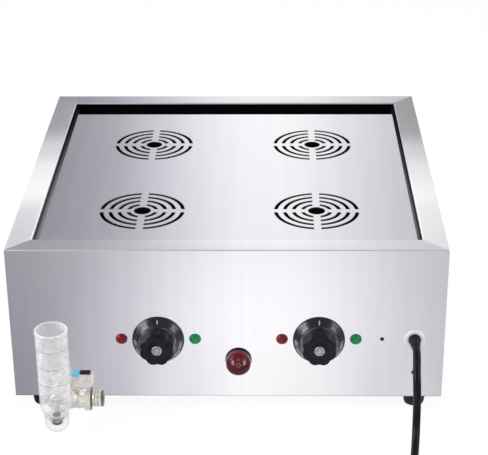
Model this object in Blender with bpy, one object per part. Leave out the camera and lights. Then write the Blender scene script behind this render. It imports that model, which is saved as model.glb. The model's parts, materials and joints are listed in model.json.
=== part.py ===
# Electric dumpling steamer: a low cabinet with a water tank and two immersion heaters under a
# lift-out steam deck, a filling cup with a drain valve at the front, and a mains lead.
# Metres, +Z up. The front faces -Y. The origin is under the middle of the object, where it stands.

import math

import bmesh
import bpy
import numpy as np
from mathutils import Matrix, Vector

# Fits
SEAT_GAP = 0.0003
CUT_OVERRUN = 0.002

# Cabinet of folded sheet
CABINET_WIDTH = 0.550
CABINET_DEPTH = 0.540
CABINET_HEIGHT = 0.210
SHEET = 0.001
RIM_WIDTH = 0.030
LIP_DEPTH = 0.028
FOLD_RADIUS = 0.002
FOLD_STEPS = 3
BASE_EDGE = 0.006

# Feet
FOOT_HEIGHT = 0.020
FOOT_TOP_RADIUS = 0.015
FOOT_BOTTOM_RADIUS = 0.013
FOOT_EDGE = 0.0015
FOOT_SIDE_INSET = 0.033
FOOT_FRONT_INSET = 0.021
FOOT_STUD_RADIUS = 0.003
FOOT_STEPS = 12

# Tank, its rails, and the seals round the recess
TANK_SIDE_SPACE = 0.0378
TANK_FRONT_SPACE = 0.0826
TANK_BACK_SPACE = 0.036
TANK_SHEET = 0.0012
TANK_FLOOR_GAP = 0.003
FLANGE_INSET = 0.013
RAIL_WIDTH = 0.024
RAIL_HEIGHT = 0.024
RAIL_SHEET = 0.002
RAIL_END_SPACE = 0.030
TRIM_THICKNESS = 0.0015
TRIM_DROP = 0.002
SEAL_WIDTH = 0.010
SEAL_THICKNESS = 0.002

# Steam deck and its outlets
RECESS_DEPTH = 0.0182
DECK_SHEET = 0.0012
DECK_PLAY = 0.0008
OUTLET_SPACING_X = 0.232
OUTLET_SPACING_Y = 0.2305
OUTLET_HOLE_RADIUS = 0.0114
OUTLET_HOLE_STEPS = 12
SLOT_STEPS = (3, 3, 4, 5)
SLOT_FIRST_RADIUS = 0.0188
SLOT_RING_SPACING = 0.0118
SLOT_WIDTH = 0.0048
BRIDGE_WIDTH = 0.0095

# Heaters in the tank
HEATER_RADIUS = 0.004
HEATER_LEGS = 4
HEATER_MIDDLE_SPACE = 0.035
HEATER_PIPE_GAP = 0.003
HEATER_LIFT = 0.036
HEATER_FRONT_SPACE = 0.040
HEATER_BACK_SPACE = 0.040
HEATER_TAIL = 0.020
HEATER_FLANGE_MARGIN = 0.013
HEATER_FLANGE_THICKNESS = 0.003

# Controls on the front panel
CONTROL_Z = 0.105
KNOB_SPACING = 0.2035
LAMP_OFFSET = 0.0467
LAMP_SCREW_SPACING = 0.0333
KNOB_SKIRT_RADIUS = 0.033
KNOB_SKIRT_GAP = 0.002
KNOB_SKIRT_EDGE = 0.003
KNOB_CONE_DEPTH = 0.0145
KNOB_GROOVE_DEPTH = 0.0012
KNOB_GROOVE_WIDTH = 0.0008
KNOB_HUB_RADIUS = 0.0240
KNOB_TIP_RADIUS = 0.0220
KNOB_TIP_EDGE = 0.0015
KNOB_DEPTH = 0.032
KNOB_SHELL = 0.004
KNOB_COLUMN_RADIUS = 0.008
KNOB_HOLLOW_DEPTH = 0.010
KNOB_BORE_DEPTH = 0.025
KNOB_FLUTES = 8
KNOB_FLUTE_SHARE = 0.07
KNOB_STEPS = 16
KNOB_DISC_RADIUS = 0.00635
KNOB_DISC_THICKNESS = 0.0013
KNOB_DISC_RECESS = 0.0012

# Thermostats behind the knobs
THERMOSTAT_WIDTH = 0.040
THERMOSTAT_HEIGHT = 0.038
THERMOSTAT_DEPTH = 0.030
THERMOSTAT_EDGE = 0.003
BUSH_RADIUS = 0.005
BUSH_REACH = 0.001
SPINDLE_RADIUS = 0.003
SPINDLE_PLAY = 0.0002
SPINDLE_REACH = 0.024
SPINDLE_DEPTH = 0.020
CAPILLARY_RADIUS = 0.0012
CAPILLARY_PLAY = 0.0004
CAPILLARY_FLANGE_GAP = 0.0032
CAPILLARY_REACH = 0.025
BULB_RADIUS = 0.0032
BULB_LENGTH = 0.080
BULB_NOSE = 0.006
CUTOUT_RADIUS = 0.0075
CUTOUT_DEPTH = 0.012
CUTOUT_FLANGE_RADIUS = 0.009
CUTOUT_FLANGE_THICKNESS = 0.001

# Pilot lamps
LAMP_RADIUS = 0.0075
LAMP_RIM = 0.0018
LAMP_HEIGHT = 0.0062
LAMP_DOME_RADIUS = 0.0066
LAMP_BARREL_RADIUS = 0.0047
LAMP_BARREL_LENGTH = 0.020
LAMP_STEPS = 12
LAMP_DOME_STEPS = 2

# Mains switch under its boot
SWITCH_SPACING = 0.102
SWITCH_DROP = 0.0295
BEZEL_RADIUS = 0.0168
BEZEL_DEPTH = 0.0035
BEZEL_EDGE = 0.0008
BEZEL_LEDGE = 0.0015
SWITCH_BODY_RADIUS = 0.0139
SWITCH_BODY_LENGTH = 0.024
SWITCH_WELL_RADIUS = 0.0126
SWITCH_WELL_DEPTH = 0.014
BOOT_RADIUS = 0.0157
BOOT_WALL = 0.0013
BOOT_HEIGHT = 0.0197
BOOT_SHOULDER = 0.0060
BOOT_STEPS = 3
SWITCH_STEPS = 16
ROCKER_LENGTH = 0.020
ROCKER_WIDTH = 0.012
ROCKER_WING_HEIGHT = 0.0090
ROCKER_DIP = 0.0017
ROCKER_KEEL = 0.009
ROCKER_SHOULDER = 0.0035
ROCKER_SINK = 0.001
ROCKER_TILT_DEG = 9.0
AXLE_RADIUS = 0.0014
AXLE_PLAY = 0.0003
AXLE_REACH = 0.0006

# Cable entry
GLAND_INSET = 0.038
GLAND_RING_RADIUS = 0.0130
GLAND_RING_HEIGHT = 0.0025
GLAND_RING_EDGE = 0.0008
GLAND_BARREL_RADIUS = 0.0087
GLAND_BORE_RADIUS = 0.0079
GLAND_BARREL_LENGTH = 0.012
RELIEF_RADIUS = 0.0076
RELIEF_COLLAR = 0.006
RELIEF_TIP_RADIUS = 0.0056
RELIEF_LENGTH = 0.022
RELIEF_TAIL = 0.010

# Terminal block, its bracket and screws
SCREW_UPPER_SPACING = 0.041
SCREW_LOWER_OFFSET = 0.0004
SCREW_LOWER_LIFT = 0.0363
SCREW_HEAD_RADIUS = 0.0026
SCREW_HEAD_HEIGHT = 0.0016
SCREW_CROWN_SHARE = 0.7
SCREW_SHANK_RADIUS = 0.0015
SCREW_SHANK_LENGTH = 0.006
BRACKET_MARGIN = 0.008
BRACKET_SHEET = 0.0012
TERMINAL_OFFSET = 0.031
TERMINAL_LIFT = 0.0057
TERMINAL_WIDTH = 0.044
TERMINAL_HEIGHT = 0.024
TERMINAL_DEPTH = 0.018
TERMINAL_WAYS = 3
TERMINAL_ENTRY_RADIUS = 0.0025
TERMINAL_ENTRY_DEPTH = 0.008
SUPPLY_RADIUS = 0.003
SUPPLY_RUN = 0.016

# Filling cup
CUP_INSET = 0.0635
CUP_STANDOFF = 0.0725
CUP_RADIUS = 0.020
CUP_WALL = 0.0016
CUP_TOP_Z = 0.159
CUP_CONE_TOP_Z = 0.052
CUP_SHOULDER_Z = 0.036
CUP_CONE_TAPER = 0.0002
CUP_SHOULDER_RADIUS = 0.0145
CUP_NECK_RADIUS = 0.0085
CUP_NECK_BORE = 0.0052
CUP_NECK_LENGTH = 0.0075
CUP_STEPS = 20
SPIGOT_RADIUS = 0.0038
SPIGOT_BORE = 0.0026
SPIGOT_ENGAGEMENT = 0.008
CAP_RADIUS = 0.0150
CAP_BOTTOM_Z = 0.0145
CAP_STRAIGHT = 0.008
CAP_ROUND_STEPS = 3
STOPPER_FLANGE_RADIUS = 0.0064
STOPPER_FLANGE = 0.0026
STOPPER_RADIUS = 0.0049
STOPPER_REACH = 0.001

# Pipe, tee and drain valve
VALVE_STANDOFF = 0.039
VALVE_Z = 0.0402
PIPE_RADIUS = 0.0105
PIPE_BORE = 0.008
PIPE_ENGAGEMENT = 0.0065
PIPE_PLAY = 0.0005
LOCKNUT_FLATS = 0.030
LOCKNUT_THICKNESS = 0.007
TEE_RADIUS = 0.0135
TEE_BACK_LENGTH = 0.017
TEE_FRONT_LENGTH = 0.0132
TEE_BRANCH_RADIUS = 0.0130
TEE_BRANCH_LENGTH = 0.017
TEE_BORE = 0.0062
NIPPLE_RADIUS = 0.009
NIPPLE_LENGTH = 0.006
VALVE_STEPS = 16
BARREL_RADIUS = 0.0128
BARREL_LENGTH = 0.0142
HEX_FLATS = 0.027
HEX_LENGTH = 0.009
OUTLET_RADIUS = 0.0105
OUTLET_LENGTH = 0.0152
OUTLET_BORE = 0.007
OUTLET_CHAMFER = 0.001
VALVE_BORE = 0.005
BALL_RADIUS = 0.0074
BALL_PLAY = 0.0004
BALL_BORE = 0.0045
STEM_OFFSET = 0.026
STEM_RADIUS = 0.0035
STEM_PLAY = 0.0003
STEM_ENGAGEMENT = 0.008
NECK_FLATS = 0.018
NECK_HEIGHT = 0.0178
NECK_BOSS_RADIUS = 0.0085
NECK_CLEARANCE = 0.0006
HANDLE_LIFT = 0.0015
HANDLE_LENGTH = 0.0271
HANDLE_REACH_BACK = 0.009
HANDLE_HEIGHT = 0.0185
HANDLE_WIDTH = 0.0127
HANDLE_EDGE = 0.001
HANDLE_CAP_LENGTH = 0.0095
HANDLE_CAP_DEPTH = 0.003
HANDLE_CAP_RISE = 0.0008

# Mains lead: its route is given as x, distance in front of the panel, and height
CORD_RADIUS = 0.005
CORD_POINTS = 15
CORD_ROUTE = [
    (0.2360, 0.0480, 0.1012),
    (0.2350, 0.0618, 0.0915),
    (0.2352, 0.0705, 0.0775),
    (0.2356, 0.0742, 0.0620),
    (0.2357, 0.0756, 0.0470),
    (0.2354, 0.0804, 0.0310),
    (0.2345, 0.0892, 0.0175),
    (0.2330, 0.1010, 0.0090),
    (0.2312, 0.1150, 0.0058),
    (0.2290, 0.1340, 0.0052),
    (0.2265, 0.1600, 0.0052),
    (0.2250, 0.1850, 0.0052),
    (0.2246, 0.1950, 0.0052),
]
COIL_MIDDLE_RADIUS = 0.059
COIL_TURNS = 3.25
COIL_SPACING = 0.0106
COIL_LOOP_POINTS = 24
COIL_STANDOFF = 0.2153
PLUG_RADIUS = 0.0185
PLUG_LENGTH = 0.038
PLUG_WAIST_RADIUS = 0.0125
PLUG_FACE_LENGTH = 0.012
PLUG_BOOT_RADIUS = 0.0075
PLUG_BOOT_TIP_RADIUS = 0.0058
PLUG_BOOT_LENGTH = 0.024
PIN_RADIUS = 0.0024
PIN_LENGTH = 0.019
PIN_SPACING = 0.019

# Places that follow from the sizes above
BASE_Z = FOOT_HEIGHT
RIM_TOP = FOOT_HEIGHT + CABINET_HEIGHT
HALF_WIDTH = CABINET_WIDTH / 2
TANK_HALF_WIDTH = HALF_WIDTH - SHEET - TANK_SIDE_SPACE - TANK_SHEET
GLAND_X = HALF_WIDTH - GLAND_INSET
SCREW_UPPER_X = GLAND_X - SCREW_UPPER_SPACING
SCREW_LOWER_X = GLAND_X + SCREW_LOWER_OFFSET
SCREW_LOWER_Z = BASE_Z + SCREW_LOWER_LIFT
TERMINAL_X = GLAND_X - TERMINAL_OFFSET
TERMINAL_Z = SCREW_LOWER_Z + TERMINAL_LIFT
KNOB_RIGHT_X = SCREW_UPPER_X - LAMP_SCREW_SPACING - LAMP_OFFSET
KNOB_LEFT_X = KNOB_RIGHT_X - KNOB_SPACING
SWITCH_X = KNOB_RIGHT_X - SWITCH_SPACING
SWITCH_Z = CONTROL_Z - SWITCH_DROP
CUP_X = CUP_INSET - HALF_WIDTH
BACK_Y = (CABINET_DEPTH + CUP_STANDOFF + CUP_RADIUS) / 2
FRONT_Y = BACK_Y - CABINET_DEPTH
MIDDLE_Y = (FRONT_Y + BACK_Y) / 2
LIP_BOTTOM = RIM_TOP - LIP_DEPTH
FLANGE_TOP = LIP_BOTTOM - SEAT_GAP
TANK_FRONT_Y = FRONT_Y + SHEET + TANK_FRONT_SPACE
TANK_BACK_Y = BACK_Y - SHEET - TANK_BACK_SPACE
TANK_FLOOR_Z = BASE_Z + SHEET + TANK_FLOOR_GAP
HEATER_Z = TANK_FLOOR_Z + TANK_SHEET + HEATER_LIFT
HEATER_OUTER_X = -CUP_X - PIPE_RADIUS - HEATER_PIPE_GAP - HEATER_FLANGE_MARGIN
HEATER_HALF_SPAN = (HEATER_OUTER_X - HEATER_MIDDLE_SPACE) / 2
HEATER_LEG_SPACING = HEATER_HALF_SPAN * 2 / (HEATER_LEGS - 1)
HEATER_CENTRE_X = HEATER_MIDDLE_SPACE + HEATER_HALF_SPAN
CAPILLARY_Z = CONTROL_Z - THERMOSTAT_HEIGHT / 2 + CAPILLARY_RADIUS * 2
BULB_Z = HEATER_Z + HEATER_FLANGE_MARGIN + CAPILLARY_FLANGE_GAP
TRIM_INSET = RIM_WIDTH + SEAT_GAP + TRIM_THICKNESS
DECK_INSET = TRIM_INSET + DECK_PLAY
DECK_TOP = RIM_TOP - RECESS_DEPTH
SEAL_TOP = FLANGE_TOP + SEAT_GAP + SEAL_THICKNESS
CUP_Y = FRONT_Y - CUP_STANDOFF
TEE_Y = FRONT_Y - VALVE_STANDOFF
VALVE_START_X = CUP_X + TEE_BRANCH_LENGTH + SEAT_GAP
STEM_X = CUP_X + STEM_OFFSET
KNOB_PLACES = {"left": KNOB_LEFT_X, "right": KNOB_RIGHT_X}
SIDES = {"left": -1, "right": 1}
TAU = 2 * math.pi


# Materials

def finish(name, colour, roughness, metallic):
    made = bpy.data.materials.new(name)
    made.use_nodes = True
    shader = made.node_tree.nodes["Principled BSDF"]
    shader.inputs["Base Color"].default_value = (*colour, 1)
    shader.inputs["Roughness"].default_value = roughness
    shader.inputs["Metallic"].default_value = metallic
    return made


def make_finishes():
    return {
        "steel": finish("brushed_stainless", (0.72, 0.72, 0.74), 0.32, 1.0),
        "tank_steel": finish("tank_stainless", (0.60, 0.60, 0.61), 0.40, 1.0),
        "zinc": finish("zinc_plated_steel", (0.55, 0.56, 0.58), 0.45, 1.0),
        "nickel": finish("nickel_plate", (0.74, 0.70, 0.62), 0.22, 1.0),
        "silver": finish("silver_disc", (0.66, 0.66, 0.68), 0.30, 1.0),
        "copper": finish("copper_tube", (0.72, 0.40, 0.26), 0.35, 1.0),
        "sheath": finish("heater_sheath", (0.36, 0.35, 0.36), 0.45, 1.0),
        "black_plastic": finish("black_plastic", (0.018, 0.018, 0.020), 0.28, 0.0),
        "black_rubber": finish("black_rubber", (0.020, 0.020, 0.022), 0.62, 0.0),
        "black_silicone": finish("black_silicone", (0.006, 0.006, 0.006), 0.70, 0.0),
        "seal_silicone": finish("seal_silicone", (0.62, 0.62, 0.60), 0.60, 0.0),
        "cable": finish("black_cable", (0.022, 0.022, 0.025), 0.50, 0.0),
        "red_lens": finish("red_lens", (0.42, 0.02, 0.03), 0.20, 0.0),
        "green_lens": finish("green_lens", (0.01, 0.25, 0.09), 0.20, 0.0),
        "red_rubber": finish("red_boot", (0.25, 0.01, 0.03), 0.18, 0.0),
        "red_plastic": finish("red_rocker", (0.45, 0.02, 0.04), 0.35, 0.0),
        "white_nylon": finish("white_nylon", (0.80, 0.80, 0.82), 0.40, 0.0),
        "blue_plastic": finish("blue_cap", (0.06, 0.45, 0.72), 0.35, 0.0),
        "clear_plastic": finish("clear_plastic", (0.80, 0.82, 0.82), 0.12, 0.0),
        "ceramic": finish("white_ceramic", (0.78, 0.76, 0.70), 0.55, 0.0),
    }


# Solids

def facing(direction, origin):
    turn = Vector((0, 0, 1)).rotation_difference(Vector(direction))
    return Matrix.Translation(origin) @ turn.to_matrix().to_4x4()


def front_place(x, z):
    return facing((0, -1, 0), (x, FRONT_Y, z))


def add_object(name, data, material, origin):
    made = bpy.data.objects.new(name, data)
    made.location = origin
    bpy.context.scene.collection.objects.link(made)
    if material:
        data.materials.append(material)
    return made


def finish_solid(name, bm, material=None, origin=(0, 0, 0)):
    bmesh.ops.recalc_face_normals(bm, faces=bm.faces)
    bmesh.ops.translate(bm, verts=bm.verts, vec=-Vector(origin))
    mesh = bpy.data.meshes.new(name)
    bm.to_mesh(mesh)
    bm.free()
    mesh.shade_smooth()
    mesh.set_sharp_from_angle(angle=math.radians(30))
    return add_object(name, mesh, material, origin)


def bridge_rows(bm, low, high):
    count = max(len(low), len(high))
    for k in range(count):
        following = (k + 1) % count
        if len(low) == 1:
            bm.faces.new((low[0], high[following], high[k]))
        elif len(high) == 1:
            bm.faces.new((low[k], low[following], high[0]))
        else:
            bm.faces.new((low[k], low[following], high[following], high[k]))


def turn_profile(bm, profile, steps, place, ring=False):
    rows = []
    for radius, height in profile:
        if callable(radius):
            radii = [radius(TAU * k / steps) for k in range(steps)]
        else:
            radii = [radius] * (steps if radius else 1)
        row = []
        for k, reach in enumerate(radii):
            angle = TAU * k / steps
            point = Vector((reach * math.cos(angle), reach * math.sin(angle), height))
            row.append(bm.verts.new(place @ point))
        rows.append(row)
    for low, high in zip(rows, rows[1:]):
        bridge_rows(bm, low, high)
    if ring:
        bridge_rows(bm, rows[-1], rows[0])


def turned(name, profile, steps, place, material=None, origin=(0, 0, 0), ring=False):
    bm = bmesh.new()
    turn_profile(bm, profile, steps, place, ring)
    return finish_solid(name, bm, material, origin)


def arc(radius, height, across, along, start_deg, end_deg, steps):
    points = []
    for k in range(steps + 1):
        angle = math.radians(start_deg + (end_deg - start_deg) * k / steps)
        points.append((radius + across * math.cos(angle), height + along * math.sin(angle)))
    return points


def stack_rings(bm, rings, closed=False):
    rows = [[bm.verts.new(point) for point in ring] for ring in rings]
    for low, high in zip(rows, rows[1:]):
        bridge_rows(bm, low, high)
    if closed:
        bridge_rows(bm, rows[-1], rows[0])
    else:
        bm.faces.new(rows[0])
        bm.faces.new(rows[-1])
    return rows


def stacked(name, rings, material=None, origin=(0, 0, 0), closed=False):
    bm = bmesh.new()
    stack_rings(bm, rings, closed)
    return finish_solid(name, bm, material, origin)


def rectangle(half_x, front_y, back_y, z):
    return [(-half_x, front_y, z), (half_x, front_y, z), (half_x, back_y, z), (-half_x, back_y, z)]


def cabinet_rectangle(inset, z):
    return rectangle(HALF_WIDTH - inset, FRONT_Y + inset, BACK_Y - inset, z)


def block(name, low, high, material=None, origin=(0, 0, 0)):
    corners = [(low[0], low[1]), (high[0], low[1]), (high[0], high[1]), (low[0], high[1])]
    rings = [[(x, y, z) for x, y in corners] for z in (low[2], high[2])]
    return stacked(name, rings, material, origin)


def drop_cutter(tool):
    tool.hide_render = True
    tool.display_type = "WIRE"
    return tool


def combine(piece, tool, operation):
    step = piece.modifiers.new(tool.name, "BOOLEAN")
    step.operation = operation
    step.solver = "EXACT"
    step.object = drop_cutter(tool)
    return piece


def rods(name, runs, steps):
    bm = bmesh.new()
    for start, end, radius in runs:
        way = Vector(end) - Vector(start)
        profile = [(0, 0), (radius, 0), (radius, way.length), (0, way.length)]
        turn_profile(bm, profile, steps, facing(way, start))
    return finish_solid(name, bm)


def drill(piece, name, runs, steps=16):
    return combine(piece, rods(name, runs, steps), "DIFFERENCE")


def weld(piece, tool):
    return combine(piece, tool, "UNION")


def soften(piece, width, segments=1):
    bevel = piece.modifiers.new("edges", "BEVEL")
    bevel.width = width
    bevel.segments = segments
    bevel.limit_method = "ANGLE"
    return piece


def tube(name, points, radius, roundness, material, swells=None):
    curve = bpy.data.curves.new(name, "CURVE")
    curve.dimensions = "3D"
    curve.bevel_depth = radius
    curve.bevel_resolution = roundness
    curve.use_fill_caps = True
    spline = curve.splines.new("POLY")
    spline.points.add(len(points) - 1)
    for k, place in enumerate(points):
        spline.points[k].co = (*place, 1)
        spline.points[k].radius = swells[k] if swells else 1
    return add_object(name, curve, material, (0, 0, 0))


def smooth_route(points, count):
    knots = np.array(points, dtype=float)
    steps = np.linalg.norm(np.diff(knots, axis=0), axis=1)
    along = np.concatenate([[0.0], np.cumsum(steps)])
    slopes = np.gradient(knots, along, axis=0)
    route = []
    for distance in np.linspace(0, along[-1], count):
        k = min(int(np.searchsorted(along, distance, side="right")) - 1, len(knots) - 2)
        span = along[k + 1] - along[k]
        t = (distance - along[k]) / span
        place = (2 * t**3 - 3 * t**2 + 1) * knots[k] + (3 * t**2 - 2 * t**3) * knots[k + 1]
        place += span * ((t**3 - 2 * t**2 + t) * slopes[k] + (t**3 - t**2) * slopes[k + 1])
        route.append(tuple(float(value) for value in place))
    return route


# Cabinet

def fold_profile():
    outer_fold = (FOLD_RADIUS, RIM_TOP - FOLD_RADIUS)
    rim_fold = (RIM_WIDTH - FOLD_RADIUS, RIM_TOP - FOLD_RADIUS)
    inner_radius = FOLD_RADIUS - SHEET
    profile = [(0, BASE_Z)]
    profile += arc(*outer_fold, FOLD_RADIUS, FOLD_RADIUS, 180, 90, FOLD_STEPS)
    profile += arc(*rim_fold, FOLD_RADIUS, FOLD_RADIUS, 90, 0, FOLD_STEPS)
    profile += [(RIM_WIDTH, LIP_BOTTOM), (RIM_WIDTH - SHEET, LIP_BOTTOM)]
    profile += arc(*rim_fold, inner_radius, inner_radius, 0, 90, FOLD_STEPS)
    profile += arc(*outer_fold, inner_radius, inner_radius, 90, 180, FOLD_STEPS)
    profile.append((SHEET, BASE_Z))
    return profile


def make_panel(name, half_length, to_world, material):
    seam = SEAT_GAP / math.sqrt(2)
    rings = []
    for end in (-1, 1):
        ring = []
        for depth, z in fold_profile():
            run = end * (half_length - depth - seam)
            ring.append(to_world(run, depth, z))
        rings.append(ring)
    return stacked(name, rings, material)


def front_holes():
    holes = [(SWITCH_X, SWITCH_Z, SWITCH_BODY_RADIUS), (GLAND_X, CONTROL_Z, GLAND_BARREL_RADIUS)]
    holes.append((CUP_X, VALVE_Z, PIPE_RADIUS))
    holes.append((SCREW_UPPER_X, CONTROL_Z, SCREW_SHANK_RADIUS))
    holes.append((SCREW_LOWER_X, SCREW_LOWER_Z, SCREW_SHANK_RADIUS))
    for x in KNOB_PLACES.values():
        holes.append((x, CONTROL_Z, BUSH_RADIUS))
        holes.append((x - LAMP_OFFSET, CONTROL_Z, LAMP_BARREL_RADIUS))
        holes.append((x + LAMP_OFFSET, CONTROL_Z, LAMP_BARREL_RADIUS))
    return holes


def make_cabinet(finishes):
    def on_front(run, depth, z):
        return (run, FRONT_Y + depth, z)

    def on_back(run, depth, z):
        return (run, BACK_Y - depth, z)

    def on_left(run, depth, z):
        return (depth - HALF_WIDTH, MIDDLE_Y + run, z)

    def on_right(run, depth, z):
        return (HALF_WIDTH - depth, MIDDLE_Y + run, z)

    steel = finishes["steel"]
    half_depth = CABINET_DEPTH / 2
    front = make_panel("front_panel", HALF_WIDTH, on_front, steel)
    make_panel("back_panel", HALF_WIDTH, on_back, steel)
    make_panel("left_side_panel", half_depth, on_left, steel)
    make_panel("right_side_panel", half_depth, on_right, steel)
    runs = []
    for x, z, radius in front_holes():
        start = (x, FRONT_Y - CUT_OVERRUN, z)
        end = (x, FRONT_Y + SHEET + CUT_OVERRUN, z)
        runs.append((start, end, radius + SEAT_GAP))
    drill(front, "front_panel_holes", runs, 16)

    inset = SHEET + SEAT_GAP
    rings = [
        cabinet_rectangle(inset, BASE_Z),
        cabinet_rectangle(inset, BASE_Z + BASE_EDGE),
        cabinet_rectangle(inset + SHEET, BASE_Z + BASE_EDGE),
        cabinet_rectangle(inset + SHEET, BASE_Z + SHEET),
    ]
    tray = stacked("base_tray", rings, finishes["zinc"])
    runs = []
    for x, y in foot_places().values():
        start = (x, y, BASE_Z - CUT_OVERRUN)
        end = (x, y, BASE_Z + SHEET + CUT_OVERRUN)
        runs.append((start, end, FOOT_STUD_RADIUS + SEAT_GAP))
    drill(tray, "base_tray_holes", runs, 12)


def foot_places():
    places = {}
    for side, sign in SIDES.items():
        x = sign * (HALF_WIDTH - FOOT_SIDE_INSET)
        places["front_" + side] = (x, FRONT_Y + FOOT_FRONT_INSET)
        places["back_" + side] = (x, BACK_Y - FOOT_FRONT_INSET)
    return places


def make_feet(finishes):
    top = BASE_Z - SEAT_GAP
    stud_top = BASE_Z + SHEET + TANK_FLOOR_GAP / 2
    profile = [
        (0, 0),
        (FOOT_BOTTOM_RADIUS - FOOT_EDGE, 0),
        (FOOT_BOTTOM_RADIUS, FOOT_EDGE),
        (FOOT_TOP_RADIUS, top),
        (FOOT_STUD_RADIUS, top),
        (FOOT_STUD_RADIUS, stud_top),
        (0, stud_top),
    ]
    for where, (x, y) in foot_places().items():
        place = Matrix.Translation((x, y, 0))
        turned("foot_" + where, profile, FOOT_STEPS, place, finishes["black_rubber"])


# Tank and steam deck

def make_tank(finishes):
    half = TANK_HALF_WIDTH
    outer = half + TANK_SHEET
    under_flange = FLANGE_TOP - TANK_SHEET
    front = TANK_FRONT_Y + TANK_SHEET
    back = TANK_BACK_Y - TANK_SHEET
    rings = [
        rectangle(outer, TANK_FRONT_Y, TANK_BACK_Y, TANK_FLOOR_Z),
        rectangle(outer, TANK_FRONT_Y, TANK_BACK_Y, under_flange),
        cabinet_rectangle(FLANGE_INSET, under_flange),
        cabinet_rectangle(FLANGE_INSET, FLANGE_TOP),
        rectangle(half, front, back, FLANGE_TOP),
        rectangle(half, front, back, TANK_FLOOR_Z + TANK_SHEET),
    ]
    tank = stacked("water_tank", rings, finishes["tank_steel"])
    runs = []

    def through_wall(x, z, radius):
        start = (x, TANK_FRONT_Y - CUT_OVERRUN, z)
        end = (x, TANK_FRONT_Y + TANK_SHEET + CUT_OVERRUN, z)
        runs.append((start, end, radius))

    through_wall(CUP_X, VALVE_Z, PIPE_BORE)
    capillary_hole = CAPILLARY_RADIUS + CAPILLARY_PLAY
    for side, sign in SIDES.items():
        through_wall(KNOB_PLACES[side], BULB_Z, capillary_hole)
        for end in (-1, 1):
            x = sign * HEATER_CENTRE_X + end * HEATER_HALF_SPAN
            through_wall(x, HEATER_Z, HEATER_RADIUS + SEAT_GAP)
    drill(tank, "water_tank_holes", runs, 16)

    rail_top = under_flange - SEAT_GAP
    wall = HALF_WIDTH - SHEET - SEAT_GAP
    outline = [
        (wall, rail_top),
        (wall - RAIL_WIDTH, rail_top),
        (wall - RAIL_WIDTH, rail_top - RAIL_SHEET),
        (wall - RAIL_SHEET, rail_top - RAIL_SHEET),
        (wall - RAIL_SHEET, rail_top - RAIL_HEIGHT),
        (wall, rail_top - RAIL_HEIGHT),
    ]
    for side, sign in SIDES.items():
        rings = []
        for y in (FRONT_Y + RAIL_END_SPACE, BACK_Y - RAIL_END_SPACE):
            rings.append([(sign * x, y, z) for x, z in outline])
        stacked("tank_rail_" + side, rings, finishes["zinc"])


def make_recess_seals(finishes):
    low = FLANGE_TOP + SEAT_GAP
    band_outer = RIM_WIDTH + SEAT_GAP
    high = RIM_TOP - TRIM_DROP
    rings = [
        cabinet_rectangle(band_outer, low),
        cabinet_rectangle(band_outer, high),
        cabinet_rectangle(TRIM_INSET, high),
        cabinet_rectangle(TRIM_INSET, low),
    ]
    stacked("recess_band", rings, finishes["black_silicone"], closed=True)
    seal_outer = TRIM_INSET + SEAT_GAP
    rings = [
        cabinet_rectangle(seal_outer, low),
        cabinet_rectangle(seal_outer, SEAL_TOP),
        cabinet_rectangle(seal_outer + SEAL_WIDTH, SEAL_TOP),
        cabinet_rectangle(seal_outer + SEAL_WIDTH, low),
    ]
    stacked("deck_seal", rings, finishes["seal_silicone"], closed=True)


def slot_outline(centre, radius, quarter, steps):
    outline = []
    for reach, turn in ((radius + SLOT_WIDTH / 2, 1), (radius - SLOT_WIDTH / 2, -1)):
        edge = math.asin(BRIDGE_WIDTH / 2 / reach)
        for k in range(steps + 1):
            share = k / steps if turn > 0 else 1 - k / steps
            angle = edge + (math.pi / 2 - 2 * edge) * share + quarter * math.pi / 2
            x = centre[0] + reach * math.cos(angle)
            y = centre[1] + reach * math.sin(angle)
            outline.append((x, y))
    return outline


def outlet_outlines(centre):
    hole = []
    for k in range(OUTLET_HOLE_STEPS):
        angle = TAU * k / OUTLET_HOLE_STEPS
        x = centre[0] + OUTLET_HOLE_RADIUS * math.cos(angle)
        y = centre[1] + OUTLET_HOLE_RADIUS * math.sin(angle)
        hole.append((x, y))
    outlines = [hole]
    for ring in range(len(SLOT_STEPS)):
        radius = SLOT_FIRST_RADIUS + ring * SLOT_RING_SPACING
        for quarter in range(4):
            outlines.append(slot_outline(centre, radius, quarter, SLOT_STEPS[ring]))
    return outlines


def make_deck(finishes):
    bm = bmesh.new()
    under = DECK_TOP - DECK_SHEET
    foot = SEAL_TOP + SEAT_GAP
    skirt = [
        cabinet_rectangle(DECK_INSET, DECK_TOP),
        cabinet_rectangle(DECK_INSET, foot),
        cabinet_rectangle(DECK_INSET + DECK_SHEET, foot),
        cabinet_rectangle(DECK_INSET + DECK_SHEET, under),
    ]
    rows = [[bm.verts.new(point) for point in ring] for ring in skirt]
    for low, high in zip(rows, rows[1:]):
        bridge_rows(bm, low, high)
    top_loops = [rows[0]]
    under_loops = [rows[-1]]
    for across in (-1, 1):
        for along in (-1, 1):
            centre = (across * OUTLET_SPACING_X / 2, MIDDLE_Y + along * OUTLET_SPACING_Y / 2)
            for outline in outlet_outlines(centre):
                top = [bm.verts.new((x, y, DECK_TOP)) for x, y in outline]
                bottom = [bm.verts.new((x, y, under)) for x, y in outline]
                bridge_rows(bm, top, bottom)
                top_loops.append(top)
                under_loops.append(bottom)
    for loops in (top_loops, under_loops):
        edges = []
        for loop in loops:
            edges += [bm.edges.get((loop[k - 1], loop[k])) for k in range(len(loop))]
        bmesh.ops.triangle_fill(bm, use_beauty=True, use_dissolve=False, edges=edges)
    finish_solid("deck_plate", bm, finishes["steel"], (0, MIDDLE_Y, DECK_TOP))


# Heaters and thermostats

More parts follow.
